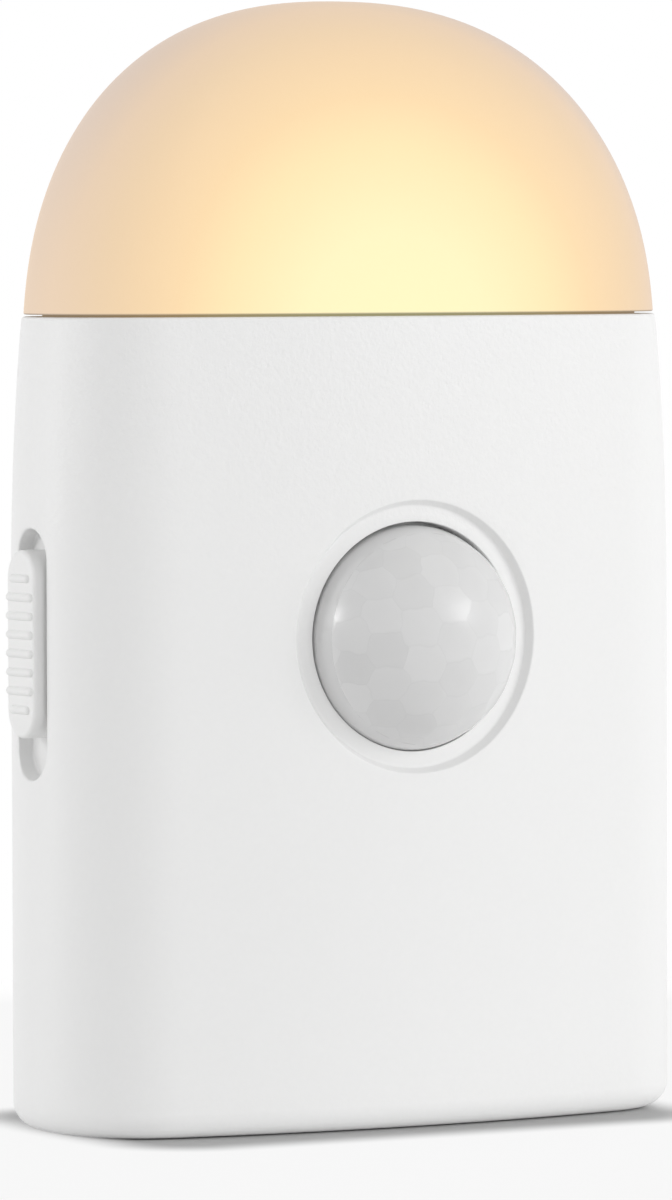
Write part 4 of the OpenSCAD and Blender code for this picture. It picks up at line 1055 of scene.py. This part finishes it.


# Floor in metres. Where seen it is darker, a painted shade that deepens the contact shadow by the
# foot. It fades to white with distance from a footprint narrower than the foot, so it stays dark in
# front of and behind the foot and pales beside it, and again far from the middle
FLOOR_HALF, FLOOR_DROP = 2, 0.00005
# Tone of the floor, and how much darker it is where seen: painted shade for the contact shadow
FLOOR_TONE, SEEN_SHADE_DARKENING = 0.9, -0.48
FOOTPRINT = (0.023, 0.0126, 0.0)
NEAR_START, NEAR_END, NEAR_WHITE = 0.0035, 0.011, 0.89
FAR_START, FAR_END = 0.02, 0.15


def studio_floor():
    mesh = bpy.data.meshes.new("floor")
    h = FLOOR_HALF
    mesh.from_pydata([(-h, -h, 0), (h, -h, 0), (h, h, 0), (-h, h, 0)], [], [(0, 1, 2, 3)])
    floor = bpy.data.objects.new("floor", mesh)
    floor.location.z = -FLOOR_DROP
    bpy.context.scene.collection.objects.link(floor)
    material, tree, shader = new_material("pale_floor")
    shown = background_ray(tree)
    # Rays that see the floor get a darker tone, painted shade that darkens the contact shadow near
    # the foot
    tone = math_node(tree, "MULTIPLY_ADD", shown, SEEN_SHADE_DARKENING, FLOOR_TONE)
    fill(tree, shader, {"Base Color": grey(tree, tone), "Roughness": 0.5,
                        "Specular IOR Level": 0.2})
    glow = add(tree, "Emission", {"Color": WHITE, "Strength": 1.0})
    place = object_place(tree)
    far = map_range(tree, vector_node(tree, "LENGTH", place), FAR_START, FAR_END)
    beside = vector_node(tree, "SUBTRACT", vector_node(tree, "ABSOLUTE", place), FOOTPRINT)
    beside = vector_node(tree, "MAXIMUM", beside, (0.0, 0.0, 0.0))
    beside = vector_node(tree, "LENGTH", beside)
    near = map_range(tree, beside, NEAR_START, NEAR_END, 0.0, NEAR_WHITE)
    seen = math_node(tree, "MULTIPLY", math_node(tree, "MAXIMUM", near, far), shown)
    both = add(tree, "MixShader", {0: seen, 1: shader.outputs[0], 2: glow.outputs[0]})
    fill(tree, tree.nodes["Material Output"], {"Surface": both.outputs[0]})
    mesh.materials.append(material)


def soft_lamp(name, place, aim, size, power, mirrored=True):
    """Area lamp at a place, turned to its aim. A lamp that isn't mirrored shows in no gloss."""
    data = bpy.data.lights.new(name, "AREA")
    data.shape = "RECTANGLE"
    data.size, data.size_y = size
    data.energy = power
    lamp = bpy.data.objects.new(name, data)
    lamp.location = place
    direction = Vector([a - p for a, p in zip(aim, place)])
    lamp.rotation_euler = direction.to_track_quat("-Z", "Y").to_euler()
    lamp.visible_glossy = mirrored
    bpy.context.scene.collection.objects.link(lamp)


# Aims of the lamps in metres
LENS_AIM, FRONT_AIM, SIDE_AIM = (0.0, -0.015, 0.0457), (0.0, 0.0, 0.035), (0.0, 0.0, 0.04)

photo_camera()
studio_world()
studio_floor()
soft_lamp("key_lamp", (0.54, -0.79, 0.11), FRONT_AIM, (1.2, 0.3), 3.4, False)
soft_lamp("side_lamp", (-0.82, 0.56, 0.14), SIDE_AIM, (0.4, 0.3), 1.35)
soft_lamp("lens_lamp", (0.62, -0.72, 0.42), LENS_AIM, (0.42, 0.3), 1.6)
soft_lamp("left_lamp", (-0.95, 0.11, 0.36), LENS_AIM, (0.06, 0.26), 1.6)

bpy.context.scene.view_settings.view_transform = "Standard"
